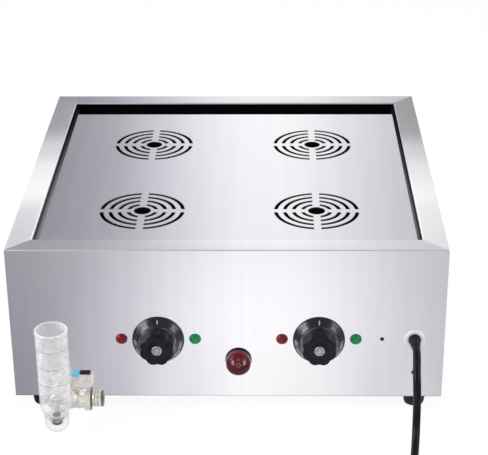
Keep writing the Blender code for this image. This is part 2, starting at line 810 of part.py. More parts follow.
def heater_points(centre_x):
    bend = HEATER_LEG_SPACING / 2
    front = TANK_FRONT_Y + TANK_SHEET + HEATER_FRONT_SPACE + bend
    back = TANK_BACK_Y - TANK_SHEET - HEATER_BACK_SPACE - bend
    tail = TANK_FRONT_Y - HEATER_TAIL
    first_x = centre_x - HEATER_HALF_SPAN
    points = [(first_x, tail, HEATER_Z)]
    for leg in range(HEATER_LEGS - 1):
        middle_x = first_x + leg * HEATER_LEG_SPACING + bend
        at_back = leg % 2 == 0
        turn_y = back if at_back else front
        for x, y in arc(middle_x, turn_y, bend, bend if at_back else -bend, 180, 0, 6):
            points.append((x, y, HEATER_Z))
    points.append((centre_x + HEATER_HALF_SPAN, tail, HEATER_Z))
    return points


def make_heaters(finishes):
    for side, sign in SIDES.items():
        centre_x = sign * HEATER_CENTRE_X
        tube("heater_" + side, heater_points(centre_x), HEATER_RADIUS, 2, finishes["sheath"])
        half = HEATER_HALF_SPAN + HEATER_FLANGE_MARGIN
        face = TANK_FRONT_Y - SEAT_GAP
        low = (centre_x - half, face - HEATER_FLANGE_THICKNESS, HEATER_Z - HEATER_FLANGE_MARGIN)
        high = (centre_x + half, face, HEATER_Z + HEATER_FLANGE_MARGIN)
        flange = block("heater_flange_" + side, low, high, finishes["nickel"])
        runs = []
        for end in (-1, 1):
            x = centre_x + end * HEATER_HALF_SPAN
            start = (x, low[1] - CUT_OVERRUN, HEATER_Z)
            runs.append((start, (x, face + CUT_OVERRUN, HEATER_Z), HEATER_RADIUS + SEAT_GAP))
        drill(flange, "heater_flange_holes_" + side, runs)


def make_thermostat(side, x, finishes):
    face = FRONT_Y + SHEET + SEAT_GAP
    low = (x - THERMOSTAT_WIDTH / 2, face, CONTROL_Z - THERMOSTAT_HEIGHT / 2)
    high = (x + THERMOSTAT_WIDTH / 2, face + THERMOSTAT_DEPTH, CONTROL_Z + THERMOSTAT_HEIGHT / 2)
    body = block("thermostat_" + side, low, high, finishes["ceramic"])
    soften(body, THERMOSTAT_EDGE)
    bush_start = (x, face + THERMOSTAT_EDGE, CONTROL_Z)
    bush_end = (x, FRONT_Y - BUSH_REACH, CONTROL_Z)
    weld(body, rods("thermostat_bush_" + side, [(bush_start, bush_end, BUSH_RADIUS)], 16))
    bore_start = (x, FRONT_Y + SPINDLE_DEPTH + SEAT_GAP, CONTROL_Z)
    bore_end = (x, FRONT_Y - BUSH_REACH - CUT_OVERRUN, CONTROL_Z)
    bore = SPINDLE_RADIUS + SPINDLE_PLAY
    drill(body, "thermostat_bore_" + side, [(bore_start, bore_end, bore)])
    profile = [
        (0, -SPINDLE_DEPTH),
        (SPINDLE_RADIUS, -SPINDLE_DEPTH),
        (SPINDLE_RADIUS, SPINDLE_REACH),
        (0, SPINDLE_REACH),
    ]
    axis_point = (x, FRONT_Y, CONTROL_Z)
    turned("spindle_" + side, profile, 12, front_place(x, CONTROL_Z), finishes["zinc"], axis_point)

    start_y = face + THERMOSTAT_DEPTH + SEAT_GAP
    wall_y = TANK_FRONT_Y - HEATER_FLANGE_THICKNESS
    points = []
    swells = []
    steps = 6
    for k in range(steps + 1):
        share = k / steps
        drop = (CAPILLARY_Z - BULB_Z) * (1 - math.cos(math.pi * share)) / 2
        points.append((x, start_y + (wall_y - start_y) * share, CAPILLARY_Z - drop))
        swells.append(1)
    bulb_share = BULB_RADIUS / CAPILLARY_RADIUS
    bulb_y = TANK_FRONT_Y + TANK_SHEET + CAPILLARY_REACH
    for distance, swell in ((0, 1), (BULB_NOSE, bulb_share), (BULB_LENGTH, bulb_share)):
        points.append((x, bulb_y + distance, BULB_Z))
        swells.append(swell)
    tube("capillary_" + side, points, CAPILLARY_RADIUS, 2, finishes["copper"], swells)


def make_thermal_cutout(finishes):
    profile = [
        (0, SEAT_GAP),
        (CUTOUT_FLANGE_RADIUS, SEAT_GAP),
        (CUTOUT_FLANGE_RADIUS, SEAT_GAP + CUTOUT_FLANGE_THICKNESS),
        (CUTOUT_RADIUS, SEAT_GAP + CUTOUT_FLANGE_THICKNESS),
        (CUTOUT_RADIUS, CUTOUT_DEPTH),
        (0, CUTOUT_DEPTH),
    ]
    place = facing((0, -1, 0), (0, TANK_FRONT_Y, HEATER_Z))
    turned("thermal_cutout", profile, 12, place, finishes["ceramic"])


# Controls

def make_knob(side, x, finishes):
    def fluted(radius):
        def reach(angle):
            wave = (1 + math.cos(KNOB_FLUTES * angle)) / 2
            return radius * (1 - KNOB_FLUTE_SHARE * wave)

        return reach

    bore = SPINDLE_RADIUS + SEAT_GAP
    hollow = KNOB_SKIRT_GAP + KNOB_HOLLOW_DEPTH
    collar = KNOB_HUB_RADIUS + KNOB_GROOVE_WIDTH
    recess = KNOB_DEPTH - KNOB_DISC_RECESS
    profile = [
        (0, KNOB_BORE_DEPTH),
        (bore, KNOB_BORE_DEPTH),
        (bore, KNOB_SKIRT_GAP),
        (KNOB_COLUMN_RADIUS, KNOB_SKIRT_GAP),
        (KNOB_COLUMN_RADIUS, hollow),
        (KNOB_HUB_RADIUS - KNOB_SHELL, hollow),
        (KNOB_SKIRT_RADIUS - KNOB_SHELL, KNOB_SKIRT_GAP),
        (KNOB_SKIRT_RADIUS, KNOB_SKIRT_GAP),
        (KNOB_SKIRT_RADIUS, KNOB_SKIRT_GAP + KNOB_SKIRT_EDGE),
        (collar, KNOB_CONE_DEPTH),
        (collar, KNOB_CONE_DEPTH - KNOB_GROOVE_DEPTH),
        (KNOB_HUB_RADIUS, KNOB_CONE_DEPTH - KNOB_GROOVE_DEPTH),
        (fluted(KNOB_HUB_RADIUS), KNOB_CONE_DEPTH + KNOB_TIP_EDGE),
        (fluted(KNOB_TIP_RADIUS), KNOB_DEPTH - KNOB_TIP_EDGE),
        (fluted(KNOB_TIP_RADIUS - KNOB_TIP_EDGE), KNOB_DEPTH),
        (KNOB_DISC_RADIUS + SEAT_GAP, KNOB_DEPTH),
        (KNOB_DISC_RADIUS + SEAT_GAP, recess),
        (0, recess),
    ]
    place = front_place(x, CONTROL_Z)
    axis_point = (x, FRONT_Y, CONTROL_Z)
    turned("knob_" + side, profile, KNOB_STEPS, place, finishes["black_plastic"], axis_point)
    floor = recess + SEAT_GAP
    disc = [
        (0, floor),
        (KNOB_DISC_RADIUS, floor),
        (KNOB_DISC_RADIUS, floor + KNOB_DISC_THICKNESS),
        (0, floor + KNOB_DISC_THICKNESS),
    ]
    turned("knob_disc_" + side, disc, 16, place, finishes["silver"], axis_point)


def make_lamp(name, x, material):
    dome_start = SEAT_GAP + LAMP_RIM
    profile = [
        (0, -LAMP_BARREL_LENGTH),
        (LAMP_BARREL_RADIUS, -LAMP_BARREL_LENGTH),
        (LAMP_BARREL_RADIUS, SEAT_GAP),
        (LAMP_RADIUS, SEAT_GAP),
        (LAMP_RADIUS, dome_start),
    ]
    dome = arc(0, dome_start, LAMP_DOME_RADIUS, LAMP_HEIGHT - dome_start, 0, 90, LAMP_DOME_STEPS)
    profile += dome[:-1] + [(0, LAMP_HEIGHT)]
    turned(name, profile, LAMP_STEPS, front_place(x, CONTROL_Z), material)


def make_controls(finishes):
    for side, x in KNOB_PLACES.items():
        make_thermostat(side, x, finishes)
        make_knob(side, x, finishes)
        make_lamp("red_lamp_" + side, x - LAMP_OFFSET, finishes["red_lens"])
        make_lamp("green_lamp_" + side, x + LAMP_OFFSET, finishes["green_lens"])


def make_switch(finishes):
    place = front_place(SWITCH_X, SWITCH_Z)
    seat = BOOT_RADIUS + SEAT_GAP
    profile = [
        (0, -SWITCH_BODY_LENGTH),
        (SWITCH_BODY_RADIUS, -SWITCH_BODY_LENGTH),
        (SWITCH_BODY_RADIUS, SEAT_GAP),
        (BEZEL_RADIUS, SEAT_GAP),
        (BEZEL_RADIUS, BEZEL_DEPTH - BEZEL_EDGE),
        (BEZEL_RADIUS - BEZEL_EDGE / 2, BEZEL_DEPTH),
        (seat, BEZEL_DEPTH),
        (seat, BEZEL_LEDGE),
        (SWITCH_WELL_RADIUS, BEZEL_LEDGE),
        (SWITCH_WELL_RADIUS, -SWITCH_WELL_DEPTH),
        (0, -SWITCH_WELL_DEPTH),
    ]
    bezel = turned("switch_bezel", profile, SWITCH_STEPS, place, finishes["black_plastic"])
    axle_y = FRONT_Y + ROCKER_SINK
    reach = SWITCH_WELL_RADIUS + AXLE_REACH
    socket = reach + SEAT_GAP
    start = (SWITCH_X - socket, axle_y, SWITCH_Z)
    end = (SWITCH_X + socket, axle_y, SWITCH_Z)
    drill(bezel, "switch_axle_sockets", [(start, end, AXLE_RADIUS + AXLE_PLAY)], 12)

    base = BEZEL_LEDGE + SEAT_GAP
    inner_radius = BOOT_RADIUS - BOOT_WALL
    shoulder = BOOT_HEIGHT - BOOT_SHOULDER
    crown = BOOT_RADIUS - BOOT_SHOULDER
    boot = [(BOOT_RADIUS, base)]
    boot += arc(crown, shoulder, BOOT_SHOULDER, BOOT_SHOULDER, 0, 90, BOOT_STEPS)
    boot += [(0, BOOT_HEIGHT), (0, BOOT_HEIGHT - BOOT_WALL)]
    inner_shoulder = BOOT_SHOULDER - BOOT_WALL
    boot += arc(crown, shoulder, inner_shoulder, inner_shoulder, 90, 0, BOOT_STEPS)
    boot.append((inner_radius, base))
    turned_boot(boot, place, finishes["red_rubber"])
    make_rocker(axle_y, reach, finishes)


def turned_boot(profile, place, material):
    bm = bmesh.new()
    middle = [index for index, point in enumerate(profile) if point[0] == 0]
    outer = profile[: middle[0] + 1]
    inner = profile[middle[1]:]
    turn_profile(bm, outer, SWITCH_STEPS, place)
    turn_profile(bm, inner, SWITCH_STEPS, place)
    rims = [edge for edge in bm.edges if edge.is_boundary]
    bmesh.ops.bridge_loops(bm, edges=rims)
    finish_solid("switch_boot", bm, material)


def make_rocker(axle_y, reach, finishes):
    half = ROCKER_LENGTH / 2
    outline = [
        (-half, ROCKER_WING_HEIGHT),
        (0, ROCKER_WING_HEIGHT - ROCKER_DIP),
        (half, ROCKER_WING_HEIGHT),
        (half, -ROCKER_SHOULDER),
        (AXLE_RADIUS, -ROCKER_KEEL),
        (-AXLE_RADIUS, -ROCKER_KEEL),
        (-half, -ROCKER_SHOULDER),
    ]
    tilt = math.radians(ROCKER_TILT_DEG)
    rings = []
    for x in (-ROCKER_WIDTH / 2, ROCKER_WIDTH / 2):
        ring = []
        for along, out in outline:
            z = along * math.cos(tilt) - out * math.sin(tilt)
            y = along * math.sin(tilt) + out * math.cos(tilt)
            ring.append((SWITCH_X + x, axle_y - y, SWITCH_Z + z))
        rings.append(ring)
    origin = (SWITCH_X, axle_y, SWITCH_Z)
    rocker = stacked("switch_rocker", rings, finishes["red_plastic"], origin)
    start = (SWITCH_X - reach, axle_y, SWITCH_Z)
    end = (SWITCH_X + reach, axle_y, SWITCH_Z)
    weld(rocker, rods("switch_axle", [(start, end, AXLE_RADIUS)], 12))


# Cable entry and terminals

def make_cable_entry(finishes):
    place = front_place(GLAND_X, CONTROL_Z)
    ring = [
        (GLAND_BORE_RADIUS, -GLAND_BARREL_LENGTH),
        (GLAND_BARREL_RADIUS, -GLAND_BARREL_LENGTH),
        (GLAND_BARREL_RADIUS, SEAT_GAP),
        (GLAND_RING_RADIUS, SEAT_GAP),
        (GLAND_RING_RADIUS, GLAND_RING_HEIGHT - GLAND_RING_EDGE),
        (GLAND_RING_RADIUS - GLAND_RING_EDGE, GLAND_RING_HEIGHT),
        (GLAND_BORE_RADIUS, GLAND_RING_HEIGHT),
    ]
    turned("gland_ring", ring, 16, place, finishes["white_nylon"], ring=True)
    relief = [
        (0, -RELIEF_TAIL),
        (RELIEF_RADIUS, -RELIEF_TAIL),
        (RELIEF_RADIUS, RELIEF_COLLAR),
        (RELIEF_RADIUS - GLAND_RING_EDGE, RELIEF_COLLAR + GLAND_RING_EDGE),
        (RELIEF_TIP_RADIUS, RELIEF_LENGTH),
        (0, RELIEF_LENGTH),
    ]
    turned("strain_relief", relief, 16, place, finishes["black_rubber"])


def make_terminals(finishes):
    face = FRONT_Y + SHEET + SEAT_GAP
    low = (SCREW_UPPER_X - BRACKET_MARGIN, face, SCREW_LOWER_Z - BRACKET_MARGIN)
    high = (SCREW_LOWER_X + BRACKET_MARGIN, face + BRACKET_SHEET, CONTROL_Z + BRACKET_MARGIN)
    bracket = block("terminal_bracket", low, high, finishes["zinc"])
    screws = {"upper": (SCREW_UPPER_X, CONTROL_Z), "lower": (SCREW_LOWER_X, SCREW_LOWER_Z)}
    holes = [(GLAND_X, CONTROL_Z, GLAND_RING_RADIUS)]
    holes += [(x, z, SCREW_SHANK_RADIUS + SEAT_GAP) for x, z in screws.values()]
    runs = []
    for x, z, radius in holes:
        start = (x, face - CUT_OVERRUN, z)
        end = (x, high[1] + CUT_OVERRUN, z)
        runs.append((start, end, radius))
    drill(bracket, "terminal_bracket_holes", runs)
    screw = [
        (0, -SCREW_SHANK_LENGTH),
        (SCREW_SHANK_RADIUS, -SCREW_SHANK_LENGTH),
        (SCREW_SHANK_RADIUS, SEAT_GAP),
        (SCREW_HEAD_RADIUS, SEAT_GAP),
        (SCREW_HEAD_RADIUS, SEAT_GAP + SCREW_HEAD_HEIGHT / 2),
        (SCREW_HEAD_RADIUS * SCREW_CROWN_SHARE, SEAT_GAP + SCREW_HEAD_HEIGHT),
        (0, SEAT_GAP + SCREW_HEAD_HEIGHT),
    ]
    for where, (x, z) in screws.items():
        turned("bracket_screw_" + where, screw, 12, front_place(x, z), finishes["black_plastic"])

    back = high[1] + SEAT_GAP
    half_width = TERMINAL_WIDTH / 2
    half_height = TERMINAL_HEIGHT / 2
    low = (TERMINAL_X - half_width, back, TERMINAL_Z - half_height)
    high = (TERMINAL_X + half_width, back + TERMINAL_DEPTH, TERMINAL_Z + half_height)
    terminal = block("terminal_block", low, high, finishes["ceramic"])
    way = TERMINAL_WIDTH / TERMINAL_WAYS
    middle_y = back + TERMINAL_DEPTH / 2
    runs = []
    for k in range(TERMINAL_WAYS):
        x = low[0] + way * (k + 1 / 2)
        start = (x, middle_y, low[2] - CUT_OVERRUN)
        runs.append((start, (x, middle_y, low[2] + TERMINAL_ENTRY_DEPTH), TERMINAL_ENTRY_RADIUS))
    drill(terminal, "terminal_entries", runs, 12)

    start_y = FRONT_Y + RELIEF_TAIL + SEAT_GAP
    top = high[2] + SEAT_GAP
    route = [
        (GLAND_X, start_y, CONTROL_Z),
        (GLAND_X, start_y + SUPPLY_RUN / 2, CONTROL_Z),
        (GLAND_X - SUPPLY_RUN / 4, start_y + SUPPLY_RUN, CONTROL_Z - SUPPLY_RUN / 4),
        (TERMINAL_X + SUPPLY_RUN / 4, (start_y + SUPPLY_RUN + middle_y) / 2, (CONTROL_Z + top) / 2),
        (TERMINAL_X, middle_y, top + SUPPLY_RUN / 2),
        (TERMINAL_X, middle_y, top),
    ]
    tube("supply_lead", smooth_route(route, 10), SUPPLY_RADIUS, 2, finishes["cable"])


# Filling cup

def make_cup(finishes):
    place = Matrix.Translation((CUP_X, CUP_Y, 0))
    neck_bottom = CUP_SHOULDER_Z - CUP_NECK_LENGTH
    bore = CUP_NECK_BORE
    lower_radius = CUP_RADIUS - CUP_CONE_TAPER
    profile = [
        (bore, neck_bottom),
        (CUP_NECK_RADIUS, neck_bottom),
        (CUP_NECK_RADIUS, CUP_SHOULDER_Z),
        (CUP_SHOULDER_RADIUS, CUP_SHOULDER_Z),
        (lower_radius, CUP_CONE_TOP_Z),
        (CUP_RADIUS, CUP_TOP_Z),
        (CUP_RADIUS - CUP_WALL, CUP_TOP_Z),
        (lower_radius - CUP_WALL, CUP_CONE_TOP_Z),
        (CUP_SHOULDER_RADIUS - CUP_WALL, CUP_SHOULDER_Z + CUP_WALL),
        (bore, CUP_SHOULDER_Z + CUP_WALL),
    ]
    cup = turned("level_cup", profile, CUP_STEPS, place, finishes["clear_plastic"], ring=True)
    inner_y = CUP_Y + CUP_SHOULDER_RADIUS - CUP_WALL
    spigot_end = TEE_Y - TEE_FRONT_LENGTH + SPIGOT_ENGAGEMENT
    start = (CUP_X, inner_y, VALVE_Z)
    end = (CUP_X, spigot_end, VALVE_Z)
    weld(cup, rods("level_cup_spigot", [(start, end, SPIGOT_RADIUS)], 12))
    middle = (CUP_X, CUP_Y, VALVE_Z)
    past = (CUP_X, spigot_end + CUT_OVERRUN, VALVE_Z)
    drill(cup, "level_cup_bore", [(middle, past, SPIGOT_BORE)], 12)

    top = CUP_SHOULDER_Z - SEAT_GAP
    round_z = top - CAP_STRAIGHT
    socket = CUP_NECK_RADIUS + SEAT_GAP
    flange_top = neck_bottom - SEAT_GAP
    floor = flange_top - STOPPER_FLANGE - SEAT_GAP
    cap = arc(0, round_z, CAP_RADIUS, CAP_BOTTOM_Z - round_z, 90, 0, CAP_ROUND_STEPS + 1)
    cap = [(0, CAP_BOTTOM_Z)] + cap[1:]
    cap += [(CAP_RADIUS, top), (socket, top), (socket, floor), (0, floor)]
    turned("cup_cap", cap, CUP_STEPS, place, finishes["clear_plastic"])
    stopper = [
        (0, flange_top - STOPPER_FLANGE),
        (STOPPER_FLANGE_RADIUS, flange_top - STOPPER_FLANGE),
        (STOPPER_FLANGE_RADIUS, flange_top),
        (STOPPER_RADIUS, flange_top),
        (STOPPER_RADIUS, CUP_SHOULDER_Z + CUP_WALL + STOPPER_REACH),
        (0, CUP_SHOULDER_Z + CUP_WALL + STOPPER_REACH),
    ]
    turned("cup_stopper", stopper, 12, place, finishes["black_rubber"])


# Pipe, tee and drain valve

def make_pipe(finishes):
    start = TANK_FRONT_Y - SEAT_GAP
    end = TEE_Y + TEE_BACK_LENGTH - PIPE_ENGAGEMENT
    length = start - end
    place = facing((0, -1, 0), (CUP_X, start, VALVE_Z))
    profile = [(PIPE_BORE, 0), (PIPE_RADIUS, 0), (PIPE_RADIUS, length), (PIPE_BORE, length)]
    turned("outlet_pipe", profile, VALVE_STEPS, place, finishes["nickel"], ring=True)

    corner = LOCKNUT_FLATS / math.sqrt(3)
    bore = PIPE_RADIUS + PIPE_PLAY
    face = SEAT_GAP
    back = face + LOCKNUT_THICKNESS
    nut = [(0, face), (corner, face), (corner, back), (0, back)]
    locknut = turned("pipe_locknut", nut, 6, front_place(CUP_X, VALVE_Z), finishes["nickel"])
    hole_start = (CUP_X, FRONT_Y + CUT_OVERRUN, VALVE_Z)
    hole_end = (CUP_X, FRONT_Y - LOCKNUT_THICKNESS - CUT_OVERRUN, VALVE_Z)
    drill(locknut, "pipe_locknut_bore", [(hole_start, hole_end, bore)], VALVE_STEPS)


def make_tee(finishes):
    back = TEE_Y + TEE_BACK_LENGTH
    front = TEE_Y - TEE_FRONT_LENGTH
    centre = (CUP_X, TEE_Y, VALVE_Z)
    branch_end = (CUP_X + TEE_BRANCH_LENGTH, TEE_Y, VALVE_Z)
    run = [((CUP_X, back, VALVE_Z), (CUP_X, front, VALVE_Z), TEE_RADIUS)]
    tee = rods("tee_fitting", run, VALVE_STEPS)
    tee.data.materials.append(finishes["nickel"])
    weld(tee, rods("tee_branch", [(centre, branch_end, TEE_BRANCH_RADIUS)], VALVE_STEPS))
    past_back = (CUP_X, back + CUT_OVERRUN, VALVE_Z)
    pipe_stop = (CUP_X, back - PIPE_ENGAGEMENT - SEAT_GAP, VALVE_Z)
    pipe_socket = PIPE_RADIUS + PIPE_PLAY
    drill(tee, "tee_back_socket", [(past_back, pipe_stop, pipe_socket)], VALVE_STEPS)
    past_branch = (branch_end[0] + CUT_OVERRUN, TEE_Y, VALVE_Z)
    nipple_stop = (branch_end[0] - NIPPLE_LENGTH, TEE_Y, VALVE_Z)
    nipple_socket = NIPPLE_RADIUS + PIPE_PLAY
    drill(tee, "tee_branch_socket", [(past_branch, nipple_stop, nipple_socket)], VALVE_STEPS)
    in_back_socket = (CUP_X, back - PIPE_ENGAGEMENT / 2, VALVE_Z)
    past_centre = (CUP_X, TEE_Y - TEE_BORE, VALVE_Z)
    drill(tee, "tee_run_bore", [(in_back_socket, past_centre, TEE_BORE)], 12)
    in_branch_socket = (branch_end[0] - NIPPLE_LENGTH / 2, TEE_Y, VALVE_Z)
    drill(tee, "tee_branch_bore", [(centre, in_branch_socket, TEE_BORE)], 14)
    past_front = (CUP_X, front - CUT_OVERRUN, VALVE_Z)
    drill(tee, "tee_front_bore", [(centre, past_front, SPIGOT_RADIUS + SEAT_GAP)], 12)


def make_valve_body(finishes):
    barrel_end = BARREL_LENGTH
    hex_middle = barrel_end + HEX_LENGTH / 2
    hex_end = barrel_end + HEX_LENGTH
    outlet_end = hex_end + OUTLET_LENGTH
    nipple_start = SEAT_GAP * 2 - NIPPLE_LENGTH
    cavity = BALL_RADIUS + BALL_PLAY
    ball_x = STEM_X - VALVE_START_X
    profile = [
        (VALVE_BORE, nipple_start),
        (NIPPLE_RADIUS, nipple_start),
        (NIPPLE_RADIUS, 0),
        (BARREL_RADIUS, 0),
        (BARREL_RADIUS, hex_middle),
        (OUTLET_RADIUS, hex_middle),
        (OUTLET_RADIUS, outlet_end - OUTLET_CHAMFER),
        (OUTLET_RADIUS - OUTLET_CHAMFER, outlet_end),
        (OUTLET_BORE, outlet_end),
        (OUTLET_BORE, hex_end),
        (VALVE_BORE, hex_end),
        (VALVE_BORE, ball_x + cavity),
        (cavity, ball_x + cavity),
        (cavity, ball_x - cavity),
        (VALVE_BORE, ball_x - cavity),
    ]
    place = facing((1, 0, 0), (VALVE_START_X, TEE_Y, VALVE_Z))
    body = turned("valve_body", profile, VALVE_STEPS, place, finishes["nickel"], ring=True)
    corner = HEX_FLATS / math.sqrt(3)
    inside = OUTLET_RADIUS - OUTLET_CHAMFER / 2
    hexagon = [(inside, barrel_end), (corner, barrel_end), (corner, hex_end), (inside, hex_end)]
    weld(body, turned("valve_hexagon", hexagon, 6, place, ring=True))
    boss_start = VALVE_Z + (cavity + BARREL_RADIUS) / 2
    boss_end = VALVE_Z + (TEE_BRANCH_RADIUS + NECK_HEIGHT) / 2
    boss = [((STEM_X, TEE_Y, boss_start), (STEM_X, TEE_Y, boss_end), NECK_BOSS_RADIUS)]
    weld(body, rods("valve_neck_boss", boss, VALVE_STEPS))
    neck_corner = NECK_FLATS / math.sqrt(3)
    neck_start = TEE_BRANCH_RADIUS + NECK_CLEARANCE
    neck = [(0, neck_start), (neck_corner, neck_start), (neck_corner, NECK_HEIGHT), (0, NECK_HEIGHT)]
    weld(body, turned("valve_neck", neck, 6, Matrix.Translation((STEM_X, TEE_Y, VALVE_Z))))
    centre = (STEM_X, TEE_Y, VALVE_Z)
    past_neck = (STEM_X, TEE_Y, VALVE_Z + NECK_HEIGHT + CUT_OVERRUN)
    drill(body, "valve_stem_bore", [(centre, past_neck, STEM_RADIUS + STEM_PLAY)])


def make_valve_handle(finishes):
    origin = (STEM_X, TEE_Y, VALVE_Z)
    bottom = VALVE_Z + NECK_HEIGHT + HANDLE_LIFT
    sphere = arc(0, 0, BALL_RADIUS, BALL_RADIUS, -90, 90, 8)
    ball = [(0, -BALL_RADIUS)] + sphere[1:-1] + [(0, BALL_RADIUS)]
    ball_piece = turned("valve_ball", ball, 16, Matrix.Translation(origin), finishes["nickel"], origin)
    stem_top = (STEM_X, TEE_Y, bottom + STEM_ENGAGEMENT)
    weld(ball_piece, rods("valve_stem", [(origin, stem_top, STEM_RADIUS)], 16))
    reach = BALL_RADIUS + CUT_OVERRUN
    start = (STEM_X - reach, TEE_Y, VALVE_Z)
    end = (STEM_X + reach, TEE_Y, VALVE_Z)
    drill(ball_piece, "valve_ball_bore", [(start, end, BALL_BORE)], 12)

    left = STEM_X - HANDLE_REACH_BACK
    right = left + HANDLE_LENGTH
    top = bottom + HANDLE_HEIGHT
    nose_shares = ((0.78, 0), (0.93, 0.14), (1, 0.40), (1, 0.78), (0.95, 0.96))
    step_x = left + HANDLE_CAP_LENGTH
    step_z = top - HANDLE_CAP_DEPTH
    outline = [(left, bottom + HANDLE_EDGE * 2), (left + HANDLE_EDGE * 2, bottom)]
    for along, up in nose_shares:
        outline.append((left + along * HANDLE_LENGTH, bottom + up * HANDLE_HEIGHT))
    outline += [(right - HANDLE_EDGE * 3, top), (step_x, top), (step_x, step_z), (left, step_z)]
    half = HANDLE_WIDTH / 2
    rings = [[(x, TEE_Y + end * half, z) for x, z in outline] for end in (-1, 1)]
    handle = stacked("valve_handle", rings, finishes["nickel"], origin)
    socket_end = (STEM_X, TEE_Y, bottom + STEM_ENGAGEMENT + SEAT_GAP)
    socket_start = (STEM_X, TEE_Y, bottom - CUT_OVERRUN)
    drill(handle, "valve_handle_socket", [(socket_start, socket_end, STEM_RADIUS + SEAT_GAP)])

    crown = top + HANDLE_CAP_RISE
    cap_end = step_x - SEAT_GAP
    cap = [
        (left, step_z + SEAT_GAP),
        (cap_end, step_z + SEAT_GAP),
        (cap_end, crown),
        (left + HANDLE_EDGE * 2, crown),
        (left, crown - HANDLE_EDGE * 2),
    ]
    rings = [[(x, TEE_Y + end * half, z) for x, z in cap] for end in (-1, 1)]
    stacked("handle_cap", rings, finishes["blue_plastic"], origin)


# Mains lead

def cord_points():
    exit_y = FRONT_Y - RELIEF_LENGTH - SEAT_GAP
    straight = CORD_RADIUS * 2
    exit_point = (GLAND_X, exit_y, CONTROL_Z)
    route = [(GLAND_X, exit_y - straight, CONTROL_Z)]
    route += [(x, FRONT_Y - out, z) for x, out, z in CORD_ROUTE]
    last = CORD_ROUTE[-1]
    coil_start = COIL_STANDOFF - straight - SEAT_GAP
    end_point = (last[0], FRONT_Y - coil_start, last[2])
    return [exit_point] + smooth_route(route, CORD_POINTS) + [end_point]


def coil_points():
    half_turns = COIL_TURNS / 2
    outer = COIL_MIDDLE_RADIUS + COIL_SPACING * half_turns / 2
    start_x, _, lay_z = CORD_ROUTE[-1]
    centre_x = start_x - outer
    centre_y = FRONT_Y - COIL_STANDOFF
    lead = CORD_RADIUS * 2
    points = [(start_x, centre_y + lead, lay_z), (start_x, centre_y + lead / 2, lay_z)]
    count = round(COIL_TURNS * COIL_LOOP_POINTS)
    plug_rise = PLUG_RADIUS + SEAT_GAP - lay_z - COIL_SPACING

    def eased(value):
        share = min(max(value, 0), 1)
        return share * share * (3 - 2 * share)

    for k in range(count + 1):
        turn = COIL_TURNS * k / count
        radius = outer - COIL_SPACING * (half_turns - abs(turn - half_turns))
        climb = COIL_SPACING * eased((turn - half_turns) * 2 + 0.5)
        climb += plug_rise * eased((turn - COIL_TURNS) * 4 + 1)
        angle = -TAU * turn
        x = centre_x + radius * math.cos(angle)
        y = centre_y + radius * math.sin(angle)
        points.append((x, y, lay_z + climb))
    last = points[-1]
    points += [(last[0] - lead / 2, last[1], last[2]), (last[0] - lead, last[1], last[2])]
    return points


def report_coil_gap(points):
    fine = np.array(points)
    parts = np.linspace(0, 1, 4, endpoint=False)
    samples = []
    for k in range(len(fine) - 1):
        for share in parts:
            samples.append(fine[k] + (fine[k + 1] - fine[k]) * share)
    samples = np.array(samples)
    steps = np.linalg.norm(np.diff(samples, axis=0), axis=1)
    along = np.concatenate([[0.0], np.cumsum(steps)])
    apart = np.linalg.norm(samples[:, None] - samples[None, :], axis=2)
    far = np.abs(along[:, None] - along[None, :]) > COIL_MIDDLE_RADIUS * 2
    gap = apart[far].min() - CORD_RADIUS * 2
    print("least gap between the coil's turns: %.2f mm" % (gap * 1000))


def make_plug(end_point, finishes):
    place = facing((-1, 0, 0), (end_point[0] - SEAT_GAP, end_point[1], end_point[2]))
    waist = PLUG_BOOT_LENGTH
    back = waist + PLUG_LENGTH - PLUG_FACE_LENGTH
    face = waist + PLUG_LENGTH
    profile = [
        (0, 0),
        (PLUG_BOOT_TIP_RADIUS, 0),
        (PLUG_BOOT_RADIUS, waist),
        (PLUG_WAIST_RADIUS, waist),
        (PLUG_WAIST_RADIUS, (waist + back) / 2),
        (PLUG_RADIUS, back),
        (PLUG_RADIUS, face),
        (0, face),
    ]
    plug = turned("plug", profile, 16, place, finishes["black_plastic"])
    face_x = end_point[0] - SEAT_GAP - face
    runs = []
    for end in (-1, 1):
        y = end_point[1] + end * PIN_SPACING / 2
        start = (face_x + PLUG_FACE_LENGTH / 2, y, end_point[2])
        runs.append((start, (face_x - PIN_LENGTH, y, end_point[2]), PIN_RADIUS))
    weld(plug, rods("plug_pins", runs, 12))


def make_cord(finishes):
    tube("cord", cord_points(), CORD_RADIUS, 2, finishes["cable"])
    points = coil_points()
    tube("cord_coil", points, CORD_RADIUS, 1, finishes["cable"])
    report_coil_gap(points)
    make_plug(points[-1], finishes)


def main():
    for old in list(bpy.data.objects):
        bpy.data.objects.remove(old, do_unlink=True)
    finishes = make_finishes()
    make_cabinet(finishes)
    make_feet(finishes)
    make_tank(finishes)
    make_recess_seals(finishes)
    make_deck(finishes)
    make_heaters(finishes)
    make_controls(finishes)
    make_thermal_cutout(finishes)
    make_switch(finishes)
    make_cable_entry(finishes)
    make_terminals(finishes)
    make_cup(finishes)
    make_pipe(finishes)
    make_tee(finishes)
    make_valve_body(finishes)
    make_valve_handle(finishes)
    make_cord(finishes)


main()
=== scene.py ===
# Dressed view of the electric dumpling steamer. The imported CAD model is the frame, and each
# finer piece below stands in the place of the node that it names.
import json
import math

import bmesh
import bpy
import numpy as np
from mathutils import Matrix, Vector

